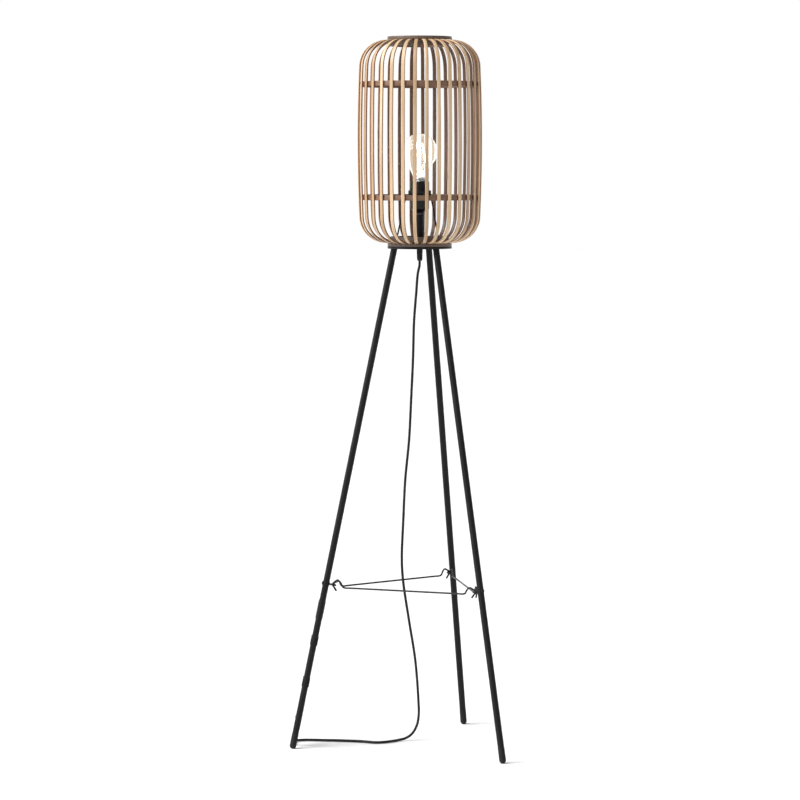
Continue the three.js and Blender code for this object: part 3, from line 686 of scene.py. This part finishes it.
for side, degrees in {"front": 0.0, "right": 120.0, "left": -120.0}.items():
    ahead = bearing(degrees)
    sideways = bearing(degrees + 90)
    left_end = np.column_stack((-half_span + hook[:, 0], hook[:, 1]))
    line = np.vstack((left_end, left_end[::-1] * [-1, 1]))
    points = axis + line[:, :1] * sideways + rod_offset * ahead + [0, 0, eye_level]
    points[:, 2] += line[:, 1]
    fit(skin(f"spreader_rod_{side}_wire", tube(along(points), rod_radius, ahead, 20)), drawn_wire,
        "rod_wire", f"spreader_rod_{side}")

# ---------- head plate, stem and cord grip ----------
# A turned steel disc, 117 mm across, joins the legs. A threaded tube stands on it inside a plain
# sleeve, held by a hexagon nut, and a tapered grip under it clamps the cord.

plate_radius = (plate_high.x - plate_low.x) / 2
stem_low, stem_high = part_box("stem_tube")
stem_bore = 0.0052
stem_radius = (stem_high.x - stem_low.x) / 2


def flat_ring(inner, outer, low, high, edge, steps=4, sides=96):
    """A ring of rectangular section turned about the lamp's axis, its edges softened."""
    return turned(softened([[inner, low], [outer, low], [outer, high], [inner, high], [inner, low]],
                           edge, steps), sides=sides)


fit(skin("head_plate_disc", flat_ring(stem_bore, plate_radius, plate_under, plate_top, 0.0008, 5, 128)),
    powder, "black_steel", "head_plate")
fit(skin("stem_sleeve", flat_ring(stem_bore, stem_radius, stem_low.z, stem_high.z, 0.0004, sides=64)),
    powder, "black_steel", "stem_tube")

nut_bore = stem_radius + 0.0001
nut_radius = 0.0095
nut_top = plate_top + 0.0055
nut_rows = np.array([
    [nut_bore, plate_top], [nut_radius - 0.0003, plate_top], [nut_radius, plate_top + 0.0003],
    [nut_radius, nut_top - 0.0004], [nut_radius - 0.0006, nut_top], [nut_bore, nut_top],
    [nut_bore, plate_top]])
nut = turned(nut_rows)
flats = np.where(nut_rows[:, :1] > nut_bore, hexagon(97, 1.13), 1.0)[..., None]
nut[..., :2] = axis[:2] + (nut[..., :2] - axis[:2]) * flats
fit(skin("stem_nut", nut, sharp=25), blackened, "bolt_steel")

screw_grids = [turned(softened([
    [0, plate_top - 0.0002], [0.0036, plate_top - 0.0002], [0.0034, plate_top + 0.0009],
    [0.0022, plate_top + 0.0016], [0.0014, plate_top + 0.0017], [0.0014, plate_top + 0.0008],
    [0, plate_top + 0.0008]], 0.0005), axis + 0.0445 * bearing(a), 32) for a in leg_bearings.values()]
fit(skin("leg_screws", *screw_grids, sharp=30), blackened, "bolt_steel")

# The grip tapers 22 mm down onto the flex, with pinched rings that let it bend.
grip_top = grip_high.z
grip_height = grip_top - grip_low.z
share = np.linspace(0, 1, 46)
rings = 0.0003 * (0.5 - 0.5 * np.cos(share * 14 * np.pi)) * (share > 0.42)
grip_radius = 0.0056 - 0.0004 * share - 0.0018 * share ** 20 - rings
grip_outer = np.column_stack((grip_radius, grip_top - share * grip_height))
grip_profile = np.vstack(([[cord_radius + 0.0001, grip_top]], grip_outer,
                          [[cord_radius + 0.0001, grip_low.z], [cord_radius + 0.0001, grip_top]]))
fit(skin("cord_grip_relief", turned(grip_profile, sides=40), sharp=50), moulded, "black_plastic", "cord_grip")

# ---------- lampholder ----------
# A screw-shell lampholder in black thermoset: a domed cap on the stem, a threaded skirt, and a
# knurled ring nut that clamps the shade's spider.

# Pressed phenolic: deep black with a soft gloss and a faint brown mottle of the filler.
thermoset = mottled(
    "moulded_black_thermoset", [(0.35, "#0A0A0A"), (0.7, "#171412")], patches=(300.0, 5.0, 0.6),
    gloss=(0.24, 0.4), strength=0.1, depth=0.0001,
    roughness=0.3, IOR=1.6, Specular_IOR_Level=0.25)

holder_low, holder_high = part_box("lampholder_cap")
skirt_low, skirt_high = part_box("lampholder_skirt")
ring_low, ring_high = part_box("shade_ring_nut")
holder_radius = (holder_high.x - holder_low.x) / 2
skirt_bore = 0.0138
shoulder_radius = (skirt_high.x - skirt_low.x) / 2
skirt_radius = 0.01785
ring_radius = (ring_high.x - ring_low.x) / 2

cap_profile = softened([
    [stem_bore, holder_low.z], [0.0085, holder_low.z], [0.0088, holder_low.z + 0.0035],
    [holder_radius, holder_low.z + 0.0095], [holder_radius, holder_high.z],
    [skirt_bore, holder_high.z], [skirt_bore, holder_low.z + 0.0105],
    [stem_bore, holder_low.z + 0.003], [stem_bore, holder_low.z]], 0.0012, 6)
cap_grid = turned(cap_profile, sides=144)
# Fine upright flutes round the cap, 36 of them, 0.3 mm deep.
turn = np.linspace(0, 2 * np.pi, 145)
spread = np.hypot(cap_grid[..., 0] - axis[0], cap_grid[..., 1] - axis[1])
on_side = (spread > holder_radius - 0.0003) & (cap_grid[..., 2] < holder_high.z - 0.001)
flute = np.where(on_side, 1 - 0.0003 / holder_radius * (0.5 + 0.5 * np.cos(36 * turn))[None, :], 1.0)
cap_grid[..., :2] = axis[:2] + (cap_grid[..., :2] - axis[:2]) * flute[..., None]
fit(skin("lampholder_cap_shell", cap_grid), thermoset, "black_plastic", "lampholder_cap")


def threaded(grid, low, high, inside, pitch, depth):
    """Cuts a round thread into a turned grid: between two heights, points further out than a
    radius go in by depth (0.5 - 0.5 cos(2 pi z / pitch - angle))."""
    level = grid[..., :2] - axis[:2]
    radius = np.linalg.norm(level, axis=-1)
    angle = np.linspace(0, 2 * np.pi, grid.shape[1])[None, :]
    height = grid[..., 2]
    cut = (radius > inside) & (height > low) & (height < high)
    wave = depth * (0.5 - 0.5 * np.cos(2 * np.pi * height / pitch - angle))
    grid[..., :2] = axis[:2] + level * np.where(cut, 1 - wave / np.maximum(radius, 1e-6), 1.0)[..., None]
    return grid


threads = np.linspace(skirt_low.z + 0.0032, skirt_high.z - 0.0012, 90)
skirt_profile = np.vstack((
    [[skirt_bore, skirt_low.z], [shoulder_radius - 0.0004, skirt_low.z],
     [shoulder_radius, skirt_low.z + 0.0004], [shoulder_radius, skirt_low.z + 0.0022],
     [shoulder_radius - 0.0004, skirt_low.z + 0.0026], [skirt_radius, skirt_low.z + 0.0026]],
    np.column_stack((np.full(90, skirt_radius), threads)),
    [[skirt_radius - 0.0008, skirt_high.z - 0.0003], [skirt_radius - 0.0014, skirt_high.z],
     [skirt_bore + 0.0003, skirt_high.z], [skirt_bore, skirt_high.z - 0.0003],
     [skirt_bore, skirt_low.z]]))
skirt_grid = threaded(turned(skirt_profile, sides=96), skirt_low.z + 0.003, skirt_high.z - 0.001,
                      skirt_radius - 0.0002, 0.0025, 0.0008)
fit(skin("lampholder_skirt_shell", skirt_grid, sharp=60), thermoset, "black_plastic",
    "lampholder_skirt")

ring_bore = skirt_radius + 0.0003
ring_grid = flat_ring(ring_bore, ring_radius, ring_low.z, ring_high.z, 0.0009, 5, 192)
# 48 knurls round the rim, 0.6 mm deep, dying out at the top and the bottom.
turn = np.linspace(0, 2 * np.pi, 193)
spread = np.hypot(ring_grid[..., 0] - axis[0], ring_grid[..., 1] - axis[1])
inset = np.where(spread > ring_radius - 0.0005, 0.0006 * (0.5 + 0.5 * np.cos(48 * turn))[None, :], 0.0)
ring_grid[..., :2] = axis[:2] + (ring_grid[..., :2] - axis[:2]) * (1 - inset / spread)[..., None]
fit(skin("shade_ring_nut_knurled", ring_grid, sharp=50), thermoset, "black_plastic", "shade_ring_nut")

# ---------- spider ----------
# A pierced ring plate clamped on the lampholder, with three wires spot-welded under it that
# drop and turn out to the lower collar.

spider_phase = 70.9
flange_low, flange_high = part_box("collar_bottom")
spider_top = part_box("shade_spider")[1].z
spider_radius = 0.0265
collar_flange = 0.0057
collar_hoop_height = 0.012
hoop_face = 0.05
wire_radius = 0.0014
landing = flange_low.z + collar_flange + collar_hoop_height / 2
spider_base = spider_top - 0.0022
plate_ring = flat_ring(ring_bore, spider_radius, spider_base, spider_top, 0.0004)
drop_line = np.array([
    [spider_radius - 0.0058, spider_base - 0.0009], [spider_radius - 0.0022, spider_base - 0.0002],
    [spider_radius + 0.0006, spider_base - 0.004], [hoop_face - 0.011, landing + 0.026],
    [hoop_face - 0.006, landing + 0.006], [hoop_face - 0.002, landing], [hoop_face, landing]])
wires = []
for degrees in (spider_phase, spider_phase + 120, spider_phase + 240):
    outward = bearing(degrees)
    points = axis + drop_line[:, :1] * outward + drop_line[:, 1:] * [0, 0, 1]
    wires.append(tube(along(points), wire_radius, bearing(degrees + 90), 16))
fit(skin("spider_frame", plate_ring, *wires), powder, "black_steel", "shade_spider")

# ---------- bulb ----------
# A clear globe bulb, 65 mm wide, with an E27 screw cap. Four amber filaments stand round a
# glass stem in it. The whole bulb unscrews out of the lampholder.

cap_low, cap_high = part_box("bulb_cap")
glass_low, glass_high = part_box("bulb_glass")
eyelet_low, eyelet_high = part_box("bulb_eyelet")
bulb_radius = 0.0325
glass_wall = 0.0005
bulb_centre = glass_high.z - bulb_radius
cap_radius = (cap_high.x - cap_low.x) / 2

# Blown soda-lime glass: clear, 0.5 mm thick, with a very slight ripple, and a faint painted glow
# of warm light on the glass that stands in for glare from the lit filaments.
glass, tree, shader = new_material("clear_blown_glass", 0.0, IOR=1.38, Transmission_Weight=1.0)
shader.inputs["Base Color"].default_value = linear("#FEFDFB")
# Painted glow: the glass itself gives off a faint warm light.
shader.inputs["Emission Color"].default_value = linear("#FFF1DA")
shader.inputs["Emission Strength"].default_value = 0.12
where = add(tree, "TexCoord").outputs["Object"]
ripple = add(tree, "TexNoise", {"Vector": where, "Scale": 28.0, "Detail": 1.0})
haze = add(tree, "MapRange", {"Value": ripple.outputs["Fac"], "To Min": 0.0, "To Max": 0.03})
bump = add(tree, "Bump", {"Height": ripple.outputs["Fac"], "Strength": 0.05, "Distance": 0.0005})
link(tree, shader, gloss=haze.outputs["Result"], bump=bump.outputs["Normal"])

turn = np.radians(np.linspace(-38, 90, 40))
ball = np.column_stack((bulb_radius * np.cos(turn), bulb_centre + bulb_radius * np.sin(turn)))
neck = softened([[cap_radius - 0.0009, glass_low.z + 0.0002], [cap_radius - 0.0004, glass_low.z + 0.0028],
                 [0.0156, glass_low.z + 0.0102], [0.0206, glass_low.z + 0.0192], ball[0]], 0.006, 8)
envelope_outer = np.vstack((neck, ball[1:]))
step = np.gradient(envelope_outer, axis=0)
step = step / np.linalg.norm(step, axis=1, keepdims=True)
envelope_inner = envelope_outer + glass_wall * np.column_stack((-step[:, 1], step[:, 0]))
envelope_inner[-1] = [0.0, envelope_outer[-1, 1] - glass_wall]
envelope_outer[-1, 0] = 0.0
envelope_wall = np.vstack((envelope_outer[::-1], envelope_inner))
envelope = skin("bulb_envelope", turned(envelope_wall, sides=96), sharp=70)
fit(envelope, glass, "clear_glass", "bulb_glass", body="bulb")

# The stem is a flared glass tube drawn in round the lead wires, with a rod above it.
stem_profile = softened([
    [0.0, glass_low.z + 0.0006], [0.0098, glass_low.z + 0.0006], [0.0072, glass_low.z + 0.009],
    [0.0036, glass_low.z + 0.0165], [0.0034, glass_low.z + 0.0215], [0.0013, glass_low.z + 0.0235],
    [0.0013, glass_low.z + 0.058], [0.0018, glass_low.z + 0.0595], [0.0, glass_low.z + 0.061]], 0.0016, 6)
fit(skin("bulb_glass_stem", turned(stem_profile, sides=40)), glass, "clear_glass", body="bulb")

# Filament rods: phosphor-coated, warm white and lit, 37 mm long and 2.2 mm thick.
filament, tree, shader = new_material("warm_glowing_phosphor", 0.5)
where = add(tree, "TexCoord").outputs["Object"]
grains = add(tree, "TexNoise", {"Vector": where, "Scale": 900.0, "Detail": 2.0})
tint = add(tree, "ValToRGB", {"Fac": grains.outputs["Fac"]}, stops=[(0.3, "#FFD9A0"), (0.7, "#FFEBCB")])
tree.links.new(tint.outputs["Color"], shader.inputs["Base Color"])
tree.links.new(tint.outputs["Color"], shader.inputs["Emission Color"])
shader.inputs["Emission Strength"].default_value = 14.0

filament_low = glass_low.z + 0.0265
filament_high = glass_low.z + 0.0625
filament_radius = 0.0011
lead_radius = 0.00032
rods, leads = [], []
for degrees in (20, 110, 200, 290):
    outward = bearing(degrees)
    low_end = axis + outward * 0.0105 + [0, 0, filament_low]
    high_end = axis + outward * 0.0048 + [0, 0, filament_high]
    share = np.linspace(0, 1, 12)[:, None]
    thick = filament_radius * np.sqrt(np.clip(1 - (2 * share[:, 0] - 1) ** 16, 0.05, 1))
    rods.append(tube(low_end + (high_end - low_end) * share, thick, bearing(degrees + 90), 14))
    low_lead = np.array([axis + outward * 0.002 + [0, 0, filament_low - 0.008],
                         axis + outward * 0.0055 + [0, 0, filament_low - 0.0062],
                         axis + outward * 0.0095 + [0, 0, filament_low - 0.003], low_end])
    high_lead = np.array([high_end, axis + outward * 0.0036 + [0, 0, filament_high + 0.0012],
                          axis + outward * 0.0012 + [0, 0, filament_high + 0.0006],
                          axis + outward * 0.0004 + [0, 0, filament_high - 0.002]])
    leads += [tube(along(lead, 5), lead_radius, bearing(degrees + 90), 10)
              for lead in (low_lead, high_lead)]
fit(skin("bulb_filaments", *rods), filament, "clear_glass", body="bulb")
fit(skin("bulb_lead_wires", *leads), nickel, "cap_metal", body="bulb")

# Screw cap: a rolled aluminium shell with a 3.6 mm round thread, over a soldered contact.
rows = np.linspace(cap_low.z + 0.0012, cap_high.z - 0.0036, 84)
cap_rows = np.vstack((
    [[0.0, cap_low.z], [cap_radius - 0.0022, cap_low.z], [cap_radius - 0.0009, cap_low.z + 0.0006]],
    np.column_stack((np.full(84, cap_radius), rows)),
    [[cap_radius - 0.0006, cap_high.z - 0.0026], [cap_radius - 0.0006, cap_high.z - 0.0006],
     [cap_radius - 0.001, cap_high.z], [0.0, cap_high.z]]))
cap_grid = threaded(turned(cap_rows, sides=96), cap_low.z + 0.001, cap_high.z - 0.0034,
                    cap_radius - 0.0003, 0.00362, 0.0013)

# Rolled aluminium: pale and soft, with drag marks round the thread from the rolling dies.
aluminium = mottled(
    "rolled_aluminium", [(0.3, "#B4B6B8"), (0.7, "#D6D8DA")], patches=(1.0, 3.0),
    gloss=(0.26, 0.44), stretch=(40.0, 40.0, 1600.0), roughness=0.34, metallic=1.0)
fit(skin("bulb_screw_cap", cap_grid, sharp=60), aluminium, "cap_metal", "bulb_cap", body="bulb")

# Solder on brass: a dull warm grey, lumpy where it has set.
solder = mottled(
    "tinned_brass_contact", [(0.35, "#8C8474"), (0.7, "#BDB39C")], patches=(500.0, 3.0),
    strength=0.4, depth=0.0003, roughness=0.4, metallic=1.0)
eyelet = skin("bulb_contact", turned(softened([
    [0.0, eyelet_low.z], [0.0046, eyelet_low.z + 0.0003], [0.0052, eyelet_low.z + 0.0014],
    [0.0088, eyelet_high.z - 0.0004], [0.0088, eyelet_high.z], [0.0, eyelet_high.z]], 0.0008, 5), sides=48))
fit(eyelet, solder, "contact_brass", "bulb_eyelet", body="bulb_lift")

# ---------- cage collars ----------
# Each end of the shade has a steam-bent collar: a flat ring that the slat ends are glued to, and
# a thinner hoop inside it. Both are stained dark brown.

stained, tree, shader = new_material(
    "brown_stained_bent_bamboo", 0.5, IOR=1.5, Coat_Weight=0.15, Coat_Roughness=0.3)
# The stain sits in the fibres, which run round the ring: 0.4 mm streaks, drawn about 1 mm wide.
where = add(tree, "TexCoord").outputs["UV"]
fibres = add(tree, "Mapping", {"Vector": where, "Scale": (10.0, 900.0, 1.0)})
streak = add(tree, "TexNoise", {"Vector": fibres.outputs["Vector"], "Scale": 1.0, "Detail": 4.0})
patches = add(tree, "TexNoise", {"Vector": add(tree, "TexCoord").outputs["Object"], "Scale": 30.0,
                                 "Detail": 3.0})
both = add(tree, "Math", {0: streak.outputs["Fac"], 1: patches.outputs["Fac"]}, operation="ADD")
half = add(tree, "Math", {0: both.outputs["Value"], 1: 0.5}, operation="MULTIPLY")
tint = add(tree, "ValToRGB", {"Fac": half.outputs["Value"]}, stops=[
    (0.32, "#35261D"), (0.68, "#604A3B")])
gloss = add(tree, "MapRange", {"Value": streak.outputs["Fac"], "To Min": 0.42, "To Max": 0.6})
bump = add(tree, "Bump", {"Height": streak.outputs["Fac"], "Strength": 0.35, "Distance": 0.0003})
link(tree, shader, tint.outputs["Color"], gloss.outputs["Result"], bump.outputs["Normal"])

collar_top_low, collar_top_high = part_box("collar_top")
collar_outer = (flange_high.x - flange_low.x) / 2
collar_inner = 0.0496
hoop_inner = 0.0506
hoop_outer = 0.0533


def collar(base, flange, hoop):
    """A collar's section turned once: a flange, and a hoop on its inner edge up to a height."""
    far = flange if abs(flange - hoop) < abs(base - hoop) else base
    near = base if far == flange else flange
    return turned(softened([
        [collar_inner, near], [collar_outer, near], [collar_outer, far], [hoop_outer, far],
        [hoop_outer, hoop], [hoop_inner, hoop], [hoop_inner, far], [collar_inner, far],
        [collar_inner, near]], 0.0007, 5), sides=160)


lower_collar = skin("collar_bottom_ring", collar(
    flange_low.z, flange_low.z + collar_flange, flange_high.z))
upper_collar = skin("collar_top_ring", collar(
    collar_top_high.z, collar_top_high.z - collar_flange, collar_top_low.z))
fit(lower_collar, stained, "collar_wood", "collar_bottom")
fit(upper_collar, stained, "collar_wood", "collar_top")

# ---------- inner hoops ----------
# Two flat bamboo strips, 9.5 mm high and 2.8 mm thick, bent round the inside of the slats and
# glued to them, with their ends scarfed so that the joint doesn't show.

# Fibres run round the hoop; the skin side keeps a low waxy sheen over a dark tan.
hoop_bamboo = mottled(
    "bent_bamboo_strip", [(0.3, "#462F1F"), (0.5, "#62432D"), (0.7, "#7B583B")],
    patches=(1.0, 4.0), gloss=(0.38, 0.56), strength=0.3, space="UV", stretch=(12.0, 1100.0, 1.0),
    roughness=0.45, IOR=1.5, Coat_Weight=0.2, Coat_Roughness=0.3)

hoop_thickness = 0.0028
for side in ("upper", "lower"):
    low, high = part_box(f"hoop_{side}")
    reach = (high.x - low.x) / 2
    hoop = flat_ring(reach - hoop_thickness, reach, low.z, high.z, 0.0008, 5, 200)
    fit(skin(f"hoop_{side}_strip", hoop), hoop_bamboo, "bamboo", f"hoop_{side}")

# ---------- the 32 slats ----------
# Strips split from a bamboo culm, 6.5 x 3 mm, with the hard skin outward and the pith inward, dark
# partly by its own colour and partly by painted shade. Each is bent over both collars, bulges out
# between them and carries a joint of the culm.

slat_count = 32
slat_phase = 16.4
slat_drift = 1.4
slat_drift_from = 20.9
slat_width = 0.0065
slat_thickness = 0.003
cage_radius = 0.1136
corner_radius = 0.0496
cage_draw = 0.002815
slat_end_radius = 0.0537
slat_low, slat_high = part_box("slat_01")
cage_bottom = slat_low.z
cage_top = slat_high.z
cage_half = (cage_top - cage_bottom) / 2
cage_middle = (cage_top + cage_bottom) / 2
corner_rise = cage_half - corner_radius
bulge_radius = (corner_rise ** 2 + cage_draw ** 2) / (2 * cage_draw)
corner_reach = bulge_radius - corner_radius
corner_lean = math.asin(corner_rise / corner_reach)
corner_centre = cage_radius - bulge_radius + corner_reach * math.cos(corner_lean)

# The upper half of a slat's outer face, from its end to the middle: flat, corner, long bulge.
end_flat = np.linspace(slat_end_radius, corner_centre, 4)[:-1]
turn = np.linspace(np.pi / 2, corner_lean, 14)
corner = np.column_stack((corner_centre + corner_radius * np.cos(turn),
                          cage_top - corner_radius + corner_radius * np.sin(turn), turn))
turn = np.linspace(corner_lean, 0, 16)[1:]
bulge = np.column_stack((cage_radius - bulge_radius * (1 - np.cos(turn)),
                         cage_middle + bulge_radius * np.sin(turn), turn))
half = np.vstack((np.column_stack((end_flat, np.full(3, cage_top), np.full(3, np.pi / 2))), corner, bulge))
mirror = half[:-1][::-1] * [1, -1, -1] + [0, 2 * cage_middle, 0]
stations = np.vstack((half, mirror))
slat_distance = np.concatenate(([0.0], np.cumsum(np.linalg.norm(np.diff(stations[:, :2], axis=0), axis=1))))

# The section: the skin side is slightly crowned and every long edge is sanded round.
section = softened(np.array([
    [-0.5, 0.5], [-0.5, 0.07], [-0.25, 0.0], [0.25, 0.0], [0.5, 0.07], [0.5, 1.0], [-0.5, 1.0],
    [-0.5, 0.5]]) * [slat_width, slat_thickness], 0.0007, 3)


def slat(name, number):
    """One slat: the section carried along the bent line, standing square to it, a little wider
    and prouder at the culm joint, wandering sideways by less than half a millimetre."""
    even = slat_phase + 360 * number / slat_count
    degrees = even + slat_drift / 2 * (1 - math.cos(math.radians(even - slat_drift_from)))
    outward = bearing(degrees)
    sideways = bearing(degrees + 90)
    joint = 0.10 + 0.28 * ((number * 0.618) % 1)
    swell = np.exp(-((slat_distance - joint) / 0.004) ** 2)
    wander = 0.0004 * np.sin(slat_distance * 11 + number * 2.4) * np.clip(
        np.minimum(slat_distance, slat_distance[-1] - slat_distance) / 0.08, 0, 1)
    width = (1 + 0.035 * math.sin(number * 5.1)) * (1 + 0.06 * swell)
    across = section[None, :, 0] * width[:, None] + wander[:, None]
    proud = 0.00035 * swell[:, None] * np.clip(1 - section[None, :, 1] / slat_thickness, 0, 1)
    inward = section[None, :, 1] - proud
    radius = stations[:, :1] - inward * np.cos(stations[:, 2:])
    height = stations[:, 1:2] - inward * np.sin(stations[:, 2:])
    grid = axis + radius[..., None] * outward + across[..., None] * sideways
    grid = grid + height[..., None] * np.array([0.0, 0.0, 1.0])
    ends = grid[[0, -1]].mean(axis=1, keepdims=True) + np.zeros_like(grid[[0, -1]])
    grid = np.vstack((ends[:1], grid, ends[1:]))
    return skin(name, grid, sharp=50, offset=0.1 * number)


split, tree, shader = new_material("split_bamboo", 0.42, IOR=1.5, Coat_Weight=0.35, Coat_Roughness=0.3)
# Fibres run along the strip, 0.3 mm apart and drawn at 0.8 mm; the skin is a pale waxy tan with
# brown flecks, the cut edges are darkened with painted shade, the pith side is dark, partly its own
# colour and partly painted shade, and every strip has its own tone.
where = add(tree, "TexCoord").outputs["UV"]
fibres = add(tree, "Mapping", {"Vector": where, "Scale": (1300.0, 9.0, 1.0)})
streak = add(tree, "TexNoise", {"Vector": fibres.outputs["Vector"], "Scale": 1.0, "Detail": 5.0,
                                "Roughness": 0.55})
strip = add(tree, "Mapping", {"Vector": where, "Scale": (17.3, 2.2, 1.0)})
tone = add(tree, "TexNoise", {"Vector": strip.outputs["Vector"], "Scale": 1.0, "Detail": 2.0})
skin_tint = add(tree, "ValToRGB", {"Fac": streak.outputs["Fac"]}, stops=[
    (0.25, "#8F7355"), (0.45, "#BDA17E"), (0.75, "#DFCBAD")])
strip_tint = add(tree, "ValToRGB", {"Fac": tone.outputs["Fac"]}, stops=[
    (0.34, "#A88C70"), (0.64, "#FFFCF6")])
own_tone = add(tree, "Mix", {0: 0.8, 6: skin_tint.outputs["Color"], 7: strip_tint.outputs["Color"]},
               data_type="RGBA", blend_type="MULTIPLY")
# The pith side's dark brown is partly its own colour and partly painted shade of the cage's inside.
pith_and_painted_shade_tint = add(tree, "ValToRGB", {"Fac": streak.outputs["Fac"]}, stops=[
    (0.3, "#412A1C"), (0.7, "#6A4733")])
girth = add(tree, "SeparateXYZ", {0: where}).outputs["X"]
round_strip = add(tree, "Math", {0: girth, 1: 0.1}, operation="MODULO")
girth_share = add(tree, "MapRange", {"Value": round_strip.outputs["Value"], "From Max": 0.019})
# Painted shade: both cut edges of every strip are darkened to a mid brown.
cut_edges_painted_shade = add(tree, "ValToRGB", {"Fac": girth_share.outputs["Result"]}, stops=[
    (0.0, "#BD9C7C"), (0.055, "#FFFFFF"), (0.385, "#FFFFFF"),
    (0.43, "#BD9C7C")])
skin_with_painted_edge_shade = add(tree, "Mix", {0: 1.0, 6: own_tone.outputs[2], 7: cut_edges_painted_shade.outputs["Color"]},
                data_type="RGBA", blend_type="MULTIPLY")
pith_starts = add(tree, "MapRange", {"Value": round_strip.outputs["Value"], "From Min": 0.0095,
                                     "From Max": 0.0110})
pith_ends = add(tree, "MapRange", {"Value": round_strip.outputs["Value"], "From Min": 0.0165,
                                   "From Max": 0.0180, "To Min": 1.0, "To Max": 0.0})
pith_side = add(tree, "Math", {0: pith_starts.outputs["Result"], 1: pith_ends.outputs["Result"]},
                operation="MULTIPLY")
tint = add(tree, "Mix", {0: pith_side.outputs["Value"], 6: skin_with_painted_edge_shade.outputs[2],
                         7: pith_and_painted_shade_tint.outputs["Color"]}, data_type="RGBA")
gloss = add(tree, "MapRange", {"Value": streak.outputs["Fac"], "To Min": 0.34, "To Max": 0.55})
bump = add(tree, "Bump", {"Height": streak.outputs["Fac"], "Strength": 0.35, "Distance": 0.0002})
link(tree, shader, tint.outputs[2], gloss.outputs["Result"], bump.outputs["Normal"])

for number in range(slat_count):
    label = f"{number + 1:02d}"
    fit(slat(f"slat_{label}_strip", number), split, "bamboo", f"slat_{label}")
